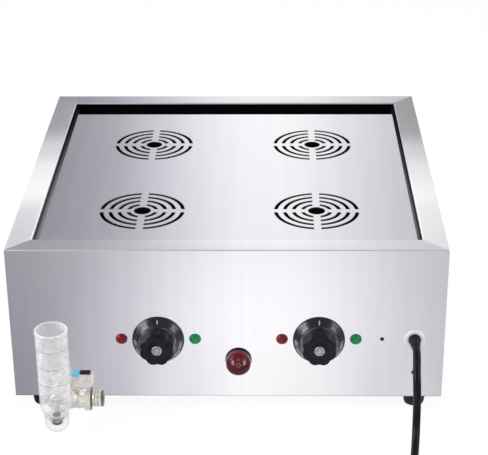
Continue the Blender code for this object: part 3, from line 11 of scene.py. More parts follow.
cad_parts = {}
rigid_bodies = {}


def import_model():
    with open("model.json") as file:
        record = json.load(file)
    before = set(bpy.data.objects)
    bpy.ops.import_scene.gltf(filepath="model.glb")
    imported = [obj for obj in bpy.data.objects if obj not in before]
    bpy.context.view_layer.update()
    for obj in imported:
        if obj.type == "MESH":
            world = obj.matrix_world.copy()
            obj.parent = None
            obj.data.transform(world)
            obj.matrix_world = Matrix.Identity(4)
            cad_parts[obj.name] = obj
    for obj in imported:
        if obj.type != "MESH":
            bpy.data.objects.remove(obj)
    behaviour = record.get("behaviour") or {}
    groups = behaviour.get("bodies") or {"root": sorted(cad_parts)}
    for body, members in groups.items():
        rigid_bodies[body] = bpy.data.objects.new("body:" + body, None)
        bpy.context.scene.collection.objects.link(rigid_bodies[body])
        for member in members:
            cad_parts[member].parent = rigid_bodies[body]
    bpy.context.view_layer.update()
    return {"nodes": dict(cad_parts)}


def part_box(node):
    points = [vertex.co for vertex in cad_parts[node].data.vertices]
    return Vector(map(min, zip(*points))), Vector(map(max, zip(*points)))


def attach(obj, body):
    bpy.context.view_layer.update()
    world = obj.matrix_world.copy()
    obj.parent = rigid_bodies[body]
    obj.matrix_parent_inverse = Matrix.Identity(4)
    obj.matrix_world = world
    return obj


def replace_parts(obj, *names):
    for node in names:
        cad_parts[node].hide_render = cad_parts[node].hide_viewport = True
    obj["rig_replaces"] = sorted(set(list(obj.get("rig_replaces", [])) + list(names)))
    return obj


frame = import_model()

scene = bpy.context.scene
scene.view_settings.view_transform = "Standard"


def nodeBox(name):
    low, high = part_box(name)
    return low, high, (low + high) / 2


# Camera

view = {
    "place": (0.0522619, -1.855328, 1.0429494),
    "yaw": 0.018434,
    "pitch": -0.4467632,
    "roll": 0.00721404,
    "lens": 109.196,
    "sensor": 36.0,
}

cameraData = bpy.data.cameras.new("camera")
cameraData.lens = view["lens"]
cameraData.sensor_width = view["sensor"]
cameraData.sensor_fit = "HORIZONTAL"
cameraData.clip_end = 30
camera = bpy.data.objects.new("camera", cameraData)
scene.collection.objects.link(camera)
turnView = Matrix.Rotation(view["yaw"], 4, "Z") @ Matrix.Rotation(view["pitch"], 4, "X")
turnView = turnView @ Matrix.Rotation(view["roll"], 4, "Y") @ Matrix.Rotation(math.pi / 2, 4, "X")
camera.matrix_world = Matrix.Translation(view["place"]) @ turnView
scene.camera = camera
print("camera set")


# Shader maths: a wire is one socket, and sums on it add the Math nodes

class Wire:
    def __init__(self, finish, socket):
        self.finish = finish
        self.socket = socket

    def part(self, name):
        return Wire(self.finish, self.socket.node.outputs[name])

    def __add__(self, other):
        return self.finish.math("ADD", self, other)

    def __sub__(self, other):
        return self.finish.math("SUBTRACT", self, other)

    def __mul__(self, other):
        return self.finish.math("MULTIPLY", self, other)

    def __rsub__(self, other):
        return self.finish.math("SUBTRACT", other, self)

    def __lt__(self, other):
        return self.finish.math("LESS_THAN", self, other)

    def __gt__(self, other):
        return self.finish.math("GREATER_THAN", self, other)

    def __abs__(self):
        return self.finish.math("ABSOLUTE", self)

    __radd__ = __add__
    __rmul__ = __mul__


class Finish:
    def __init__(self, owner):
        self.tree = owner.node_tree
        self.owner = owner
        self.tree.nodes.clear()

    def node(self, kind, settings=None, inputs=None, output=0):
        made = self.tree.nodes.new("ShaderNode" + kind)
        for key, value in (settings or {}).items():
            if key == "stops":
                self.setStops(made.color_ramp, value)
            else:
                setattr(made, key, value)
        for key, value in (inputs or {}).items():
            self.feed(made.inputs[key], value)
        return Wire(self, made.outputs[output]) if len(made.outputs) else made

    def setStops(self, ramp, stops):
        ramp.interpolation = "EASE"
        while len(ramp.elements) < len(stops):
            ramp.elements.new(0.5)
        for element, (position, level) in zip(ramp.elements, stops):
            element.position = position
            colour = level if isinstance(level, tuple) else (level, level, level)
            element.color = (*colour, 1)

    def feed(self, socket, value):
        if isinstance(value, Wire):
            self.tree.links.new(value.socket, socket)
        elif isinstance(value, tuple) and len(value) < len(socket.default_value):
            socket.default_value = (*value, 1)
        else:
            socket.default_value = value

    def math(self, operation, *values):
        return self.node("Math", {"operation": operation}, dict(enumerate(values)))

    def vector(self, operation, *values, output=0):
        return self.node("VectorMath", {"operation": operation}, dict(enumerate(values)), output)

    def scale(self, colour, share):
        made = self.vector("SCALE", colour)
        self.feed(made.socket.node.inputs["Scale"], share)
        return made

    def place(self):
        return self.node("TexCoord", output="Object")

    def axes(self, vector):
        first = self.node("SeparateXYZ", inputs={0: vector})
        return first, first.part("Y"), first.part("Z")

    def noise(self, vector, scale, detail=2.0, rough=0.5):
        inputs = {"Vector": vector, "Scale": scale, "Detail": detail, "Roughness": rough}
        return self.node("TexNoise", inputs=inputs)

    def stretched(self, vector, stretch, detail=2.0):
        return self.noise(self.vector("MULTIPLY", vector, stretch), 1.0, detail)

    def span(self, value, low, high, toLow=0.0, toHigh=1.0):
        inputs = {"Value": value, "From Min": low, "From Max": high, "To Min": toLow, "To Max": toHigh}
        return self.node("MapRange", {"interpolation_type": "SMOOTHSTEP"}, inputs)

    def blend(self, share, low, high):
        return self.node("Mix", {"data_type": "RGBA"}, {0: share, 6: low, 7: high}, 2)

    def bump(self, height, distance, strength=1.0):
        return self.node("Bump", inputs={"Height": height, "Distance": distance, "Strength": strength})

    def finishWith(self, shader, target="OutputMaterial"):
        self.node(target, inputs={"Surface": shader})
        return self.owner

    def surface(self, colour, roughness, normal, **more):
        inputs = {"Base Color": colour, "Roughness": roughness, "Normal": normal}
        inputs.update({surfaceSockets[key]: value for key, value in more.items()})
        return self.finishWith(self.node("BsdfPrincipled", inputs=inputs))


surfaceSockets = {"metal": "Metallic", "gloss": "Specular IOR Level", "alpha": "Alpha", "coat": "Coat Weight",
                  "coatRough": "Coat Roughness"}


def newFinish(name):
    material = bpy.data.materials.new(name)
    material.use_nodes = True
    return Finish(material)


# Metal finishes

# painted light on the rim tops: for each depth Y, the share washed to a near-white painted highlight, and the
# scale of the rim's colour
rimPaintedLight = {
    "front": [(-0.224, 0.0, 1.10), (0.046, 0.0, 1.0), (0.316, 0.0, 0.92)],
    "left": [(-0.224, 0.42, 1.0), (-0.182, 0.50, 1.0), (-0.089, 0.88, 1.0), (0.025, 0.80, 1.0),
             (0.136, 0.48, 1.0), (0.256, 0.0, 0.93), (0.300, 0.0, 0.90)],
    "right": [(-0.224, 0.44, 1.0), (-0.182, 0.54, 1.0), (-0.089, 0.72, 1.0), (0.025, 0.50, 1.0),
              (0.115, 0.15, 1.0), (0.235, 0.0, 0.63), (0.300, 0.0, 0.58)],
}
steelLook = {"pale": (0.80, 0.80, 0.81), "deep": (0.765, 0.765, 0.78), "hem": (0.020, 0.02168),
             "rimLevel": 0.2285, "worn": (0.2466, 0.2460)}


def brushedSteel(name, across, rough, rim=None):
    # the brush lines run square to the axis named by across; a panel with a rim also gets painted light on its
    # rim's top and painted shade along its lower hem
    look = newFinish(name)
    place = look.place()
    side, back, height = look.axes(place)
    fine = tuple(1500.0 if axis == across else 6.0 for axis in "xyz")
    broad = tuple(130.0 if axis == across else 1.2 for axis in "xyz")
    grain = look.stretched(place, fine, 3.0)
    streak = look.stretched(place, broad, 1.0)
    smudge = look.noise(place, 5.0, 2.0, 0.5)
    tone = look.span(streak * 0.45 + smudge * 0.30 + grain * 0.25, 0.30, 0.70)
    colour = look.blend(tone, steelLook["deep"], steelLook["pale"])
    metal = 1.0
    if rim:
        # painted shade darkens the lower hem
        colour = look.scale(colour, look.span(height, *steelLook["hem"], 0.55, 1.0))
        # painted light on the rim's top, from the front to the back: how much is washed to a near-white painted
        # highlight, and how far its colour is scaled brighter or darker
        low = rim[0][0]
        reach = rim[-1][0] - low
        along = look.span(back, low, low + reach)
        shares = []
        for column in (1, 2):
            stops = [((row[0] - low) / reach, (row[column] / 2,) * 3) for row in rim]
            shares.append(2 * look.node("ValToRGB", {"stops": stops}, {0: along}))
        top = height > steelLook["rimLevel"]
        paintedShine = shares[0]
        if across == "y":
            # a painted highlight brightens the side rims' inner edges towards the front
            worn = look.span(abs(side), *steelLook["worn"]) * look.span(back, 0.06, -0.02)
            paintedShine = look.math("MAXIMUM", paintedShine, worn)
        paintedShine = top * paintedShine
        colour = look.scale(colour, 1 - top + top * shares[1])
        colour = look.blend(paintedShine, colour, (0.985, 0.985, 0.995))
        metal = 1 - paintedShine * 0.82
    roughness = rough + (grain - 0.5) * 0.05 + (smudge - 0.5) * 0.04
    return look.surface(colour, roughness, look.bump(grain, 0.00001, 0.12), metal=metal)


def rolledSteel(name, pale, deep, rough):
    look = newFinish(name)
    place = look.place()
    cloud = look.noise(place, 22.0, 5.0, 0.62)
    mill = look.stretched(place, (40.0, 900.0, 40.0), 2.0)
    colour = look.blend(look.span(cloud, 0.35, 0.68), deep, pale)
    roughness = rough + (cloud - 0.5) * 0.25 + (mill - 0.5) * 0.08
    return look.surface(colour, roughness, look.bump(mill, 0.00005, 0.4), metal=1.0)


def zincPlate(name):
    look = newFinish(name)
    place = look.place()
    flake = look.node("TexVoronoi", {"feature": "F1"}, {"Vector": place, "Scale": 130.0}, "Color")
    level = look.axes(flake)[0]
    colour = look.blend(level, (0.44, 0.45, 0.48), (0.64, 0.65, 0.67))
    normal = look.bump(look.noise(place, 800.0, 3.0), 0.00004, 0.4)
    return look.surface(colour, 0.34 + level * 0.16, normal, metal=1.0)


# the valve's grooves, by place along X and half width, that get painted shade
valveGrooveShade = [(-0.1708, 0.0011), (-0.1665, 0.0004), (-0.1628, 0.0004), (-0.1572, 0.0012)]


def platedBrass(name, shadedGrooves=()):
    # warm nickel plate; painted shade darkens the grooves named by their place along X and half width
    look = newFinish(name)
    place = look.place()
    cloud = look.noise(place, 70.0, 4.0, 0.6)
    pit = look.noise(place, 900.0, 2.0)
    colour = look.blend(look.span(cloud, 0.35, 0.65), (0.78, 0.74, 0.65), (0.98, 0.95, 0.86))
    across = look.axes(place)[0]
    for spot, half in shadedGrooves:
        grooveShade = look.span(abs(across - spot), half * 0.7, half * 1.4, 0.10, 1.0)
        colour = look.scale(colour, grooveShade)
    rough = 0.24 + (cloud - 0.5) * 0.16 + (pit - 0.5) * 0.06
    return look.surface(colour, rough, look.bump(pit, 0.00005, 0.5), metal=0.78)


def centredFinish(name, centre):
    # for a round piece that faces the front: also its own place, its depth and the distance from its axis
    look = newFinish(name)
    place = look.vector("SUBTRACT", look.place(), centre)
    across, out, up = look.axes(place)
    return look, place, out, look.math("SQRT", across * across + up * up)


def turnedDisc(name, centre):
    # rings of a lathe tool round the disc's own centre
    look, place, _, reach = centredFinish(name, centre)
    rings = look.math("SINE", reach * 9000.0)
    cloud = look.noise(place, 260.0, 3.0)
    colour = look.blend(look.span(cloud, 0.35, 0.65), (0.27, 0.28, 0.31), (0.40, 0.41, 0.44))
    colour = look.scale(colour, look.span(abs(reach - 0.0042), 0.0003, 0.0006, 0.30, 1.0))
    rough = 0.38 + rings * 0.05 + (cloud - 0.5) * 0.1
    return look.surface(colour, rough, look.bump(rings, 0.00003, 0.6), metal=0.75)


# Moulded, drawn and printed finishes. A make holds the cloud's noise, the levels between which deep turns pale,
# the grain's noise, its relief, and how far cloud and grain sway the roughness

makes = {
    "copper": ((160.0, 5.0, 0.65), (0.38, 0.66), (2240.0, 2.0), (0.00004, 0.5), (0.2, 0)),
    "sheath": ((60.0, 5.0, 0.65), (0.38, 0.66), (840.0, 2.0), (0.00004, 0.5), (0.2, 0)),
    "thermoset": ((55.0, 4.0, 0.6), (0.36, 0.66), (1400.0, 3.0, 0.55), (0.00002, 0.6), (0.14, 0.05)),
    "rocker": ((55.0, 4.0, 0.6), (0.36, 0.66), (900.0, 3.0, 0.55), (0.00003, 0.6), (0.14, 0.05)),
    "nylon": ((55.0, 4.0, 0.6), (0.36, 0.66), (1100.0, 3.0, 0.55), (0.00004, 0.6), (0.14, 0.05)),
    "ceramic": ((55.0, 4.0, 0.6), (0.36, 0.66), (700.0, 3.0, 0.55), (0.00006, 0.6), (0.14, 0.05)),
    "rubber": ((90.0, 5.0, 0.7), (0.40, 0.72), (2600.0, 2.0), (0.00006, 0.6), (0.2, 0)),
    "cable": ((60.0, 5.0, 0.65), (0.42, 0.70), (1500.0, 2.0), (0.00004, 0.5), (0.22, 0)),
    "print": ((900.0, 3.0, 0.6), (0.35, 0.60), (900.0, 3.0, 0.6), (0.00003, 0.4), (0.1, 0)),
}


def grained(name, make, pale, deep, rough, polish=None, **more):
    # polish is the depth along Y where the glossy skirt of a knob starts, and where it is full
    clouding, turn, graining, relief, sway = makes[make]
    look = newFinish(name)
    place = look.place()
    cloud = look.noise(place, *clouding)
    grain = look.noise(place, *graining)
    colour = look.blend(look.span(cloud, *turn), deep, pale)
    roughness = rough + (cloud - 0.5) * sway[0] + (grain - 0.5) * sway[1]
    if polish:
        more["coat"] = look.span(look.axes(place)[1], *polish, 0.04, 0.75)
        more["coatRough"] = 0.16
    return look.surface(colour, roughness, look.bump(grain, *relief), **more)


# where the finishes below change, as heights, depths and distances from an axis or a plane

recessLook = {"sideWall": 0.2405, "back": (0.26, -0.14), "low": (0.2245, 0.2125), "pale": (0.30, 0.30, 0.32)}
bootLook = {"edge": (0.0085, 0.0150), "root": (-0.2310, -0.2268)}
cupLook = {"foot": (0.030, 0.060), "lip": (0.1568, 0.1580)}
stopperLook = {"flange": (0.0281, 0.0285), "top": (0.0368, 0.0374)}


def paintedRecessStrip(name):
    # matt black strip that stands in for the shade down in the recess; its side walls carry painted light, as
    # taken off the deck, more so low down, near the front and on the left
    look = newFinish(name)
    place = look.place()
    bloom = look.noise(place, 90.0, 5.0, 0.7)
    grain = look.noise(place, 2600.0, 2.0)
    side, back, height = look.axes(place)
    share = (abs(side) > recessLook["sideWall"]) * look.span(back, *recessLook["back"], 0.10, 1.0)
    share = share * look.span(height, *recessLook["low"], 0.22, 1.0) * (0.55 + 0.45 * (side < 0))
    colour = look.blend(share * (0.8 + 0.4 * bloom), (0.0016, 0.0016, 0.0020), recessLook["pale"])
    return look.surface(colour, 0.9 + (bloom - 0.5) * 0.2, look.bump(grain, 0.00006, 0.6), gloss=0.0)


def lampLens(name, centre, bright, dark):
    # a ribbed lens, darker in its middle, with a lighter rim
    look, place, _, reach = centredFinish(name, centre)
    ribs = look.math("SINE", reach * 5200.0)
    cloud = look.noise(place, 420.0, 2.0)
    share = look.span(reach, 0.001, 0.0062) + (cloud - 0.5) * 0.25
    colour = look.blend(share, dark, bright)
    return look.surface(colour, 0.26 + cloud * 0.08, look.bump(ribs, 0.00006, 0.5), gloss=0.22)


def softBoot(name, centre):
    # a see-through red boot: clearer in its face than at its rounded edge
    look, place, out, reach = centredFinish(name, centre)
    cloud = look.noise(place, 240.0, 4.0, 0.6)
    edge = look.span(reach, *bootLook["edge"])
    root = look.span(out, *bootLook["root"])
    colour = look.blend(cloud, (0.075, 0.001, 0.008), (0.16, 0.004, 0.022))
    colour = look.blend(root, colour, (0.022, 0.002, 0.005))
    alpha = 0.26 + edge * 0.66 + (cloud - 0.5) * 0.16
    normal = look.bump(look.noise(place, 700.0, 2.0), 0.00008, 0.6)
    return look.surface(colour, 0.16 + cloud * 0.10, normal, alpha=alpha, gloss=0.14)


def clearPlastic(name, beads, haze=1.0):
    # murky clear plastic: bright at its outline above, grey below, with lines at its moulded beads; painted
    # shade darkens it just under each bead, and a painted highlight whitens its lip
    look = newFinish(name)
    place = look.place()
    run = look.stretched(place, (260.0, 260.0, 26.0), 3.0)
    blot = look.noise(place, 120.0, 4.0, 0.65)
    facing = look.node("LayerWeight", inputs={"Blend": 0.34}, output="Facing")
    height = look.axes(place)[2]
    foot = look.span(height, *cupLook["foot"], 1.0, 0.0)
    colour = look.blend(look.span(run * 0.4 + blot * 0.6, 0.38, 0.62), (0.72, 0.73, 0.73), (0.95, 0.95, 0.95))
    colour = look.blend(foot * 0.8, colour, (0.30, 0.30, 0.31))
    alpha = (0.15 + (blot - 0.5) * 0.34 + (run - 0.5) * 0.16) * (1 - foot * 0.85)
    alpha = alpha + facing * (0.50 - foot * 0.20)
    for spot in beads:
        line = look.span(abs(height - spot), 0.0004, 0.0012, 1.0, 0.0)
        below = look.span(height - spot, -0.0016, -0.0004, 1.0, 0.0)
        paintedBeadShade = below * look.span(height - spot, -0.0030, -0.0018)
        alpha = alpha + line * 0.14 + paintedBeadShade * 0.16
        colour = look.blend(paintedBeadShade * 0.8, colour, (0.30, 0.30, 0.32))
    lip = look.span(height, *cupLook["lip"])
    colour = look.blend(lip, colour, (0.97, 0.97, 0.98))
    alpha = look.math("MAXIMUM", (alpha + lip * 0.16) * haze, 0.02)
    return look.surface(colour, 0.14 + run * 0.12, look.bump(blot, 0.0005, 0.6), alpha=alpha, gloss=0.32)


def stopperRubber(name):
    # a dark flange and top on a stem that is milky with scale
    look = newFinish(name)
    place = look.place()
    height = look.axes(place)[2]
    cloud = look.noise(place, 500.0, 3.0)
    stem = look.span(height, *stopperLook["flange"]) * look.span(height, *stopperLook["top"], 1.0, 0.0)
    colour = look.blend(cloud, (0.004, 0.004, 0.005), (0.014, 0.014, 0.016))
    colour = look.blend(stem, colour, (0.62, 0.62, 0.63))
    return look.surface(colour, 0.5 + (cloud - 0.5) * 0.2, look.bump(cloud, 0.00005, 0.4), gloss=0.25)


finishes = {
    "frontSteel": brushedSteel("brushed steel front and back", "x", 0.34, rimPaintedLight["front"]),
    "leftSteel": brushedSteel("brushed steel left", "y", 0.46, rimPaintedLight["left"]),
    "rightSteel": brushedSteel("brushed steel right", "y", 0.46, rimPaintedLight["right"]),
    "deckSteel": brushedSteel("brushed steel deck", "x", 0.31),
    # the tank's steel is painted far darker than bare stainless, as painted shade inside the tank that shows
    # through the deck's slots
    "shadedTankSteel": rolledSteel("rolled steel tank", (0.27, 0.27, 0.28), (0.215, 0.215, 0.22), 0.42),
    "zinc": zincPlate("zinc plated steel"),
    "nickel": platedBrass("nickel plated brass"),
    "valveNickel": platedBrass("nickel plated valve", valveGrooveShade),
    "copper": grained("drawn copper", "copper", (0.78, 0.42, 0.27), (0.48, 0.22, 0.13), 0.30, metal=1.0),
    "sheath": grained("heat tinted sheath", "sheath", (0.42, 0.40, 0.38), (0.17, 0.15, 0.16),
                      0.42, metal=1.0),
    "blackPlastic": grained("black thermoset", "thermoset", (0.008, 0.009, 0.015), (0.004, 0.0045, 0.008),
                            0.30, gloss=0.14),
    "knobPlastic": grained("black knob thermoset", "thermoset", (0.008, 0.009, 0.016), (0.004, 0.0045, 0.009),
                           0.30, (-0.2395, -0.2375), gloss=0.12),
    "blackRubber": grained("black rubber", "rubber", (0.016, 0.016, 0.019), (0.006, 0.006, 0.008),
                           0.50, gloss=0.16),
    # a black strip that stands in for the recess's shade, with painted light on its side walls
    "recessShadeStrip": paintedRecessStrip("black strip for recess shade"),
    "sealSilicone": grained("pale silicone gasket", "rubber", (0.66, 0.66, 0.63), (0.52, 0.52, 0.50),
                            0.55, gloss=0.16),
    "cable": grained("black cable sheath", "cable", (0.012, 0.012, 0.017), (0.004, 0.004, 0.006),
                     0.30, gloss=0.13),
    "redRocker": grained("red rocker", "rocker", (0.26, 0.008, 0.030), (0.16, 0.004, 0.016), 0.30, gloss=0.4),
    "nylon": grained("white nylon", "nylon", (0.74, 0.76, 0.80), (0.64, 0.66, 0.70), 0.34),
    "blue": grained("blue cap", "nylon", (0.13, 0.49, 0.72), (0.08, 0.37, 0.60), 0.32),
    "cup": clearPlastic("clear cup", (0.071, 0.091, 0.114, 0.138)),
    "cap": clearPlastic("clear cap", (), 1.15),
    "stopper": stopperRubber("stopper rubber"),
    "ceramic": grained("off-white housing", "ceramic", (0.80, 0.78, 0.71), (0.66, 0.63, 0.56), 0.52),
    "mark": grained("worn print", "print", (0.38, 0.39, 0.42), (0.16, 0.17, 0.19), 0.50),
    "switchMark": grained("switch print", "print", (0.86, 0.84, 0.85), (0.66, 0.62, 0.64), 0.50),
}
print("finishes:", len(finishes))


# Shapes

def facing(direction, origin):
    turn = Vector((0, 0, 1)).rotation_difference(Vector(direction))
    return Matrix.Translation(origin) @ turn.to_matrix().to_4x4()


def joinRows(bm, low, high):
    count = max(len(low), len(high))
    for k in range(count):
        after = (k + 1) % count
        if len(low) == 1:
            bm.faces.new((low[0], high[after], high[k]))
        elif len(high) == 1:
            bm.faces.new((low[k], low[after], high[0]))
        else:
            bm.faces.new((low[k], low[after], high[after], high[k]))


def joinRings(bm, rings):
    rows = [[bm.verts.new(point) for point in ring] for ring in rings]
    for low, high in zip(rows, rows[1:]):
        joinRows(bm, low, high)
    return rows


def turnShape(bm, profile, steps, place, ring=False):
    # a lathe shape: a radius may be a function of the angle
    angles = [2 * math.pi * k / steps for k in range(steps)]
    rings = []
    for radius, height in profile:
        if radius == 0:
            rings.append([place @ Vector((0, 0, height))])
            continue
        radii = [radius(angle) if callable(radius) else radius for angle in angles]
        points = [(r * math.cos(a), r * math.sin(a), height) for r, a in zip(radii, angles)]
        rings.append([place @ Vector(point) for point in points])
    rows = joinRings(bm, rings)
    if ring:
        joinRows(bm, rows[-1], rows[0])
    return rows


def stackShape(bm, rings):
    rows = joinRings(bm, rings)
    bm.faces.new(rows[0])
    bm.faces.new(rows[-1])


def fillLoops(bm, loops):
    edges = []
    for loop in loops:
        edges += [bm.edges.get((loop[k - 1], loop[k])) or bm.edges.new((loop[k - 1], loop[k]))
                  for k in range(len(loop))]
    bmesh.ops.triangle_fill(bm, use_beauty=True, use_dissolve=False, edges=edges)


def arcPoints(radius, height, across, along, startDeg, endDeg, steps):
    angles = [math.radians(startDeg + (endDeg - startDeg) * k / steps) for k in range(steps + 1)]
    return [(radius + across * math.cos(a), height + along * math.sin(a)) for a in angles]


def camelName(first, node):
    return first + "".join(word.capitalize() for word in node.split("_"))


def addPiece(name, data, finish, body, replaced=()):
    piece = bpy.data.objects.new(name, data)
    scene.collection.objects.link(piece)
    data.materials.append(finish)
    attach(piece, body)
    if replaced:
        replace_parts(piece, *replaced)
    return piece


def meshPiece(name, bm, finish, body, replaced=(), sharp=32, edge=None, segments=3):
    bmesh.ops.recalc_face_normals(bm, faces=bm.faces)
    mesh = bpy.data.meshes.new(name)
    bm.to_mesh(mesh)
    bm.free()
    mesh.shade_smooth()
    mesh.set_sharp_from_angle(angle=math.radians(sharp))
    piece = addPiece(name, mesh, finish, body, replaced)
    if edge:
        bevel = piece.modifiers.new("edges", "BEVEL")
        bevel.width = edge
        bevel.segments = segments
        bevel.limit_method = "ANGLE"
        bevel.angle_limit = math.radians(sharp)
        bevel.harden_normals = True
    return piece


def turnedPiece(name, profile, steps, place, finish, body, replaced=(), ring=False, sharp=32):
    bm = bmesh.new()
    turnShape(bm, profile, steps, place, ring)
    return meshPiece(name, bm, finish, body, replaced, sharp)


# Mains lead: the free stretch, then its coil, with the plug at the coil's end

lead = {
    "radius": 0.005,
    "exit": (0.237, -0.24605, 0.105),
    "route": [
        (0.2370, -0.25605, 0.1050), (0.2360, -0.27175, 0.1012), (0.2350, -0.28555, 0.0915),
        (0.2352, -0.29425, 0.0775), (0.2356, -0.29795, 0.0620), (0.2357, -0.29935, 0.0470),
        (0.2354, -0.30415, 0.0310), (0.2345, -0.31295, 0.0175), (0.2330, -0.32475, 0.0090),
        (0.2312, -0.33875, 0.0058), (0.2290, -0.35775, 0.0052), (0.2265, -0.38375, 0.0052),
        (0.2250, -0.40875, 0.0052), (0.2246, -0.41875, 0.0052),
    ],
    "routePoints": 34,
    "coilMiddle": 0.059,
    "turns": 3.25,
    "spacing": 0.0106,
    "perTurn": 36,
    "coilY": -0.43905,
    "plugRadius": 0.0185,
}


def smoothRoute(points, count):
    knots = np.array(points, dtype=float)
    along = np.concatenate([[0.0], np.cumsum(np.linalg.norm(np.diff(knots, axis=0), axis=1))])
    slopes = np.gradient(knots, along, axis=0)
    route = []
    for distance in np.linspace(0, along[-1], count):
        k = min(int(np.searchsorted(along, distance, side="right")) - 1, len(knots) - 2)
        step = along[k + 1] - along[k]
        t = (distance - along[k]) / step
        spot = (2 * t**3 - 3 * t**2 + 1) * knots[k] + (3 * t**2 - 2 * t**3) * knots[k + 1]
        spot += step * ((t**3 - 2 * t**2 + t) * slopes[k] + (t**3 - t**2) * slopes[k + 1])
        route.append(tuple(float(value) for value in spot))
    return route


def eased(value):
    share = min(max(value, 0), 1)
    return share * share * (3 - 2 * share)


def coilPoints():
    half = lead["turns"] / 2
    outer = lead["coilMiddle"] + lead["spacing"] * half / 2
    startX, _, layZ = lead["route"][-1]
    step = lead["radius"] * 2
    points = [(startX, lead["coilY"] + step, layZ), (startX, lead["coilY"] + step / 2, layZ)]
    count = round(lead["turns"] * lead["perTurn"])
    plugRise = lead["plugRadius"] + 0.0003 - layZ - lead["spacing"]
    for k in range(count + 1):
        turn = lead["turns"] * k / count
        radius = outer - lead["spacing"] * (half - abs(turn - half))
        climb = lead["spacing"] * eased((turn - half) * 2 + 0.5)
        climb += plugRise * eased((turn - lead["turns"]) * 4 + 1)
        angle = -2 * math.pi * turn
        x = startX - outer + radius * math.cos(angle)
        points.append((x, lead["coilY"] + radius * math.sin(angle), layZ + climb))
    last = points[-1]
    points += [(last[0] - step / 2, last[1], last[2]), (last[0] - step, last[1], last[2])]
    return points


def makePlug(end):
    # two-pin round plug with a ribbed boot and finger grips
    plug = {"boot": 0.024, "length": 0.038, "waist": 0.0125, "radius": 0.0185, "face": 0.012}
    place = facing((-1, 0, 0), (end[0] - 0.0003, end[1], end[2]))
    profile = [(0, 0), (0.0054, 0), (0.0058, 0.0005)]
    for k in range(6):
        start = 0.0022 + k * 0.0034
        reach = 0.0058 + 0.0017 * start / plug["boot"]
        profile += [(reach, start), (reach + 0.0005, start + 0.0004), (reach + 0.0005, start + 0.0019),
                    (reach, start + 0.0023)]
    waistEnd = plug["boot"] + plug["length"] - plug["face"]
    profile += [(0.0075, plug["boot"]), (plug["waist"] - 0.0012, plug["boot"] + 0.0002),
                (plug["waist"], plug["boot"] + 0.0014), (plug["waist"] - 0.0006, plug["boot"] + 0.008),
                (plug["waist"] + 0.0003, plug["boot"] + 0.014), (plug["radius"] - 0.0012, waistEnd - 0.0008)]
    total = plug["boot"] + plug["length"]
    profile += arcPoints(plug["radius"] - 0.0014, waistEnd + 0.0014, 0.0014, 0.0014, -70, 0, 3)
    profile += arcPoints(plug["radius"] - 0.0014, total - 0.0014, 0.0014, 0.0014, 0, 90, 4)
    profile += [(0, total)]
    bm = bmesh.new()
    turnShape(bm, profile, 48, place)
    for side in (-1, 1):
        for k in range(4):
            middle = place @ Vector((0, side * (plug["waist"] - 0.0003), plug["boot"] + 0.0045 + k * 0.0030))
            rib = [(0, -0.0007), (0.0052, -0.0007), (0.0056, 0), (0.0052, 0.0007), (0, 0.0007)]
            turnShape(bm, rib, 20, Matrix.Translation(middle) @ place.to_3x3().to_4x4())
    body = meshPiece("mainsPlug", bm, finishes["blackPlastic"], "cabinet", ["plug"])
    pins = bmesh.new()
    for side in (-1, 1):
        base = place @ Vector((0, side * 0.0095, total - 0.001))
        tip = arcPoints(0.0012, 0.0178, 0.0012, 0.0020, 0, 90, 4)[1:-1]
        pin = [(0, 0), (0.0024, 0), (0.0024, 0.0178)] + tip + [(0, 0.0198)]
        turnShape(pins, pin, 24, Matrix.Translation(base) @ place.to_3x3().to_4x4())
    pinPiece = meshPiece("plugPins", pins, finishes["nickel"], "cabinet")
    return body, pinPiece


def makeLead():
    points = [lead["exit"]] + smoothRoute(lead["route"], lead["routePoints"])
    coil = coilPoints()
    points += coil
    curve = bpy.data.curves.new("mainsLead", "CURVE")
    curve.dimensions = "3D"
    curve.bevel_depth = lead["radius"]
    curve.bevel_resolution = 5
    curve.use_fill_caps = True
    spline = curve.splines.new("POLY")
    spline.points.add(len(points) - 1)
    for k, spot in enumerate(points):
        spline.points[k].co = (*spot, 1)
    spline.use_smooth = True
    piece = addPiece("mainsLead", curve, finishes["cable"], "cabinet", ["cord", "cord_coil"])
    ends = makePlug(points[-1])


makeLead()


# Floor, the light and what the metal reflects

studio = {
    "floorHalf": 6.0,
    "shadowShare": 0.13,
    "leftSoft": 26.0,
    "rightSoft": 14.0,
    "topSoft": 9.0,
    "frontSoft": 9.0,
    # brightness across X that the sheet metal reflects, and how lavender it is: from the floor in front,
    # and from a card behind
    "floorBands": [(-0.42, 0.30, 1), (-0.27, 0.35, 1), (-0.17, 0.73, 0.8), (-0.07, 1.20, 0.4),
                   (0.03, 1.48, 0.1), (0.12, 1.34, 0.1), (0.21, 0.94, 0.4), (0.32, 0.64, 0.3),
                   (0.46, 0.52, 0.2)],
    "cardBands": [(-0.42, 0.33, 1), (-0.27, 0.42, 1), (-0.17, 0.74, 0.8), (-0.07, 1.06, 0.4),
                  (0.03, 1.26, 0.1), (0.12, 1.18, 0.1), (0.21, 0.94, 0.4), (0.32, 0.72, 0.3),
                  (0.46, 0.62, 0.2)],
    "cardY": 0.75,
    "closeShare": 0.83,
    "leftCard": 7.0,
    "rightCard": 3.0,
    "white": 1.03,
    # what metal and matt surfaces find above them: from and to this height, with these two levels
    "overhead": (0.45, 0.85, 0.62, 0.42),
    "diffuse": 0.64,
}


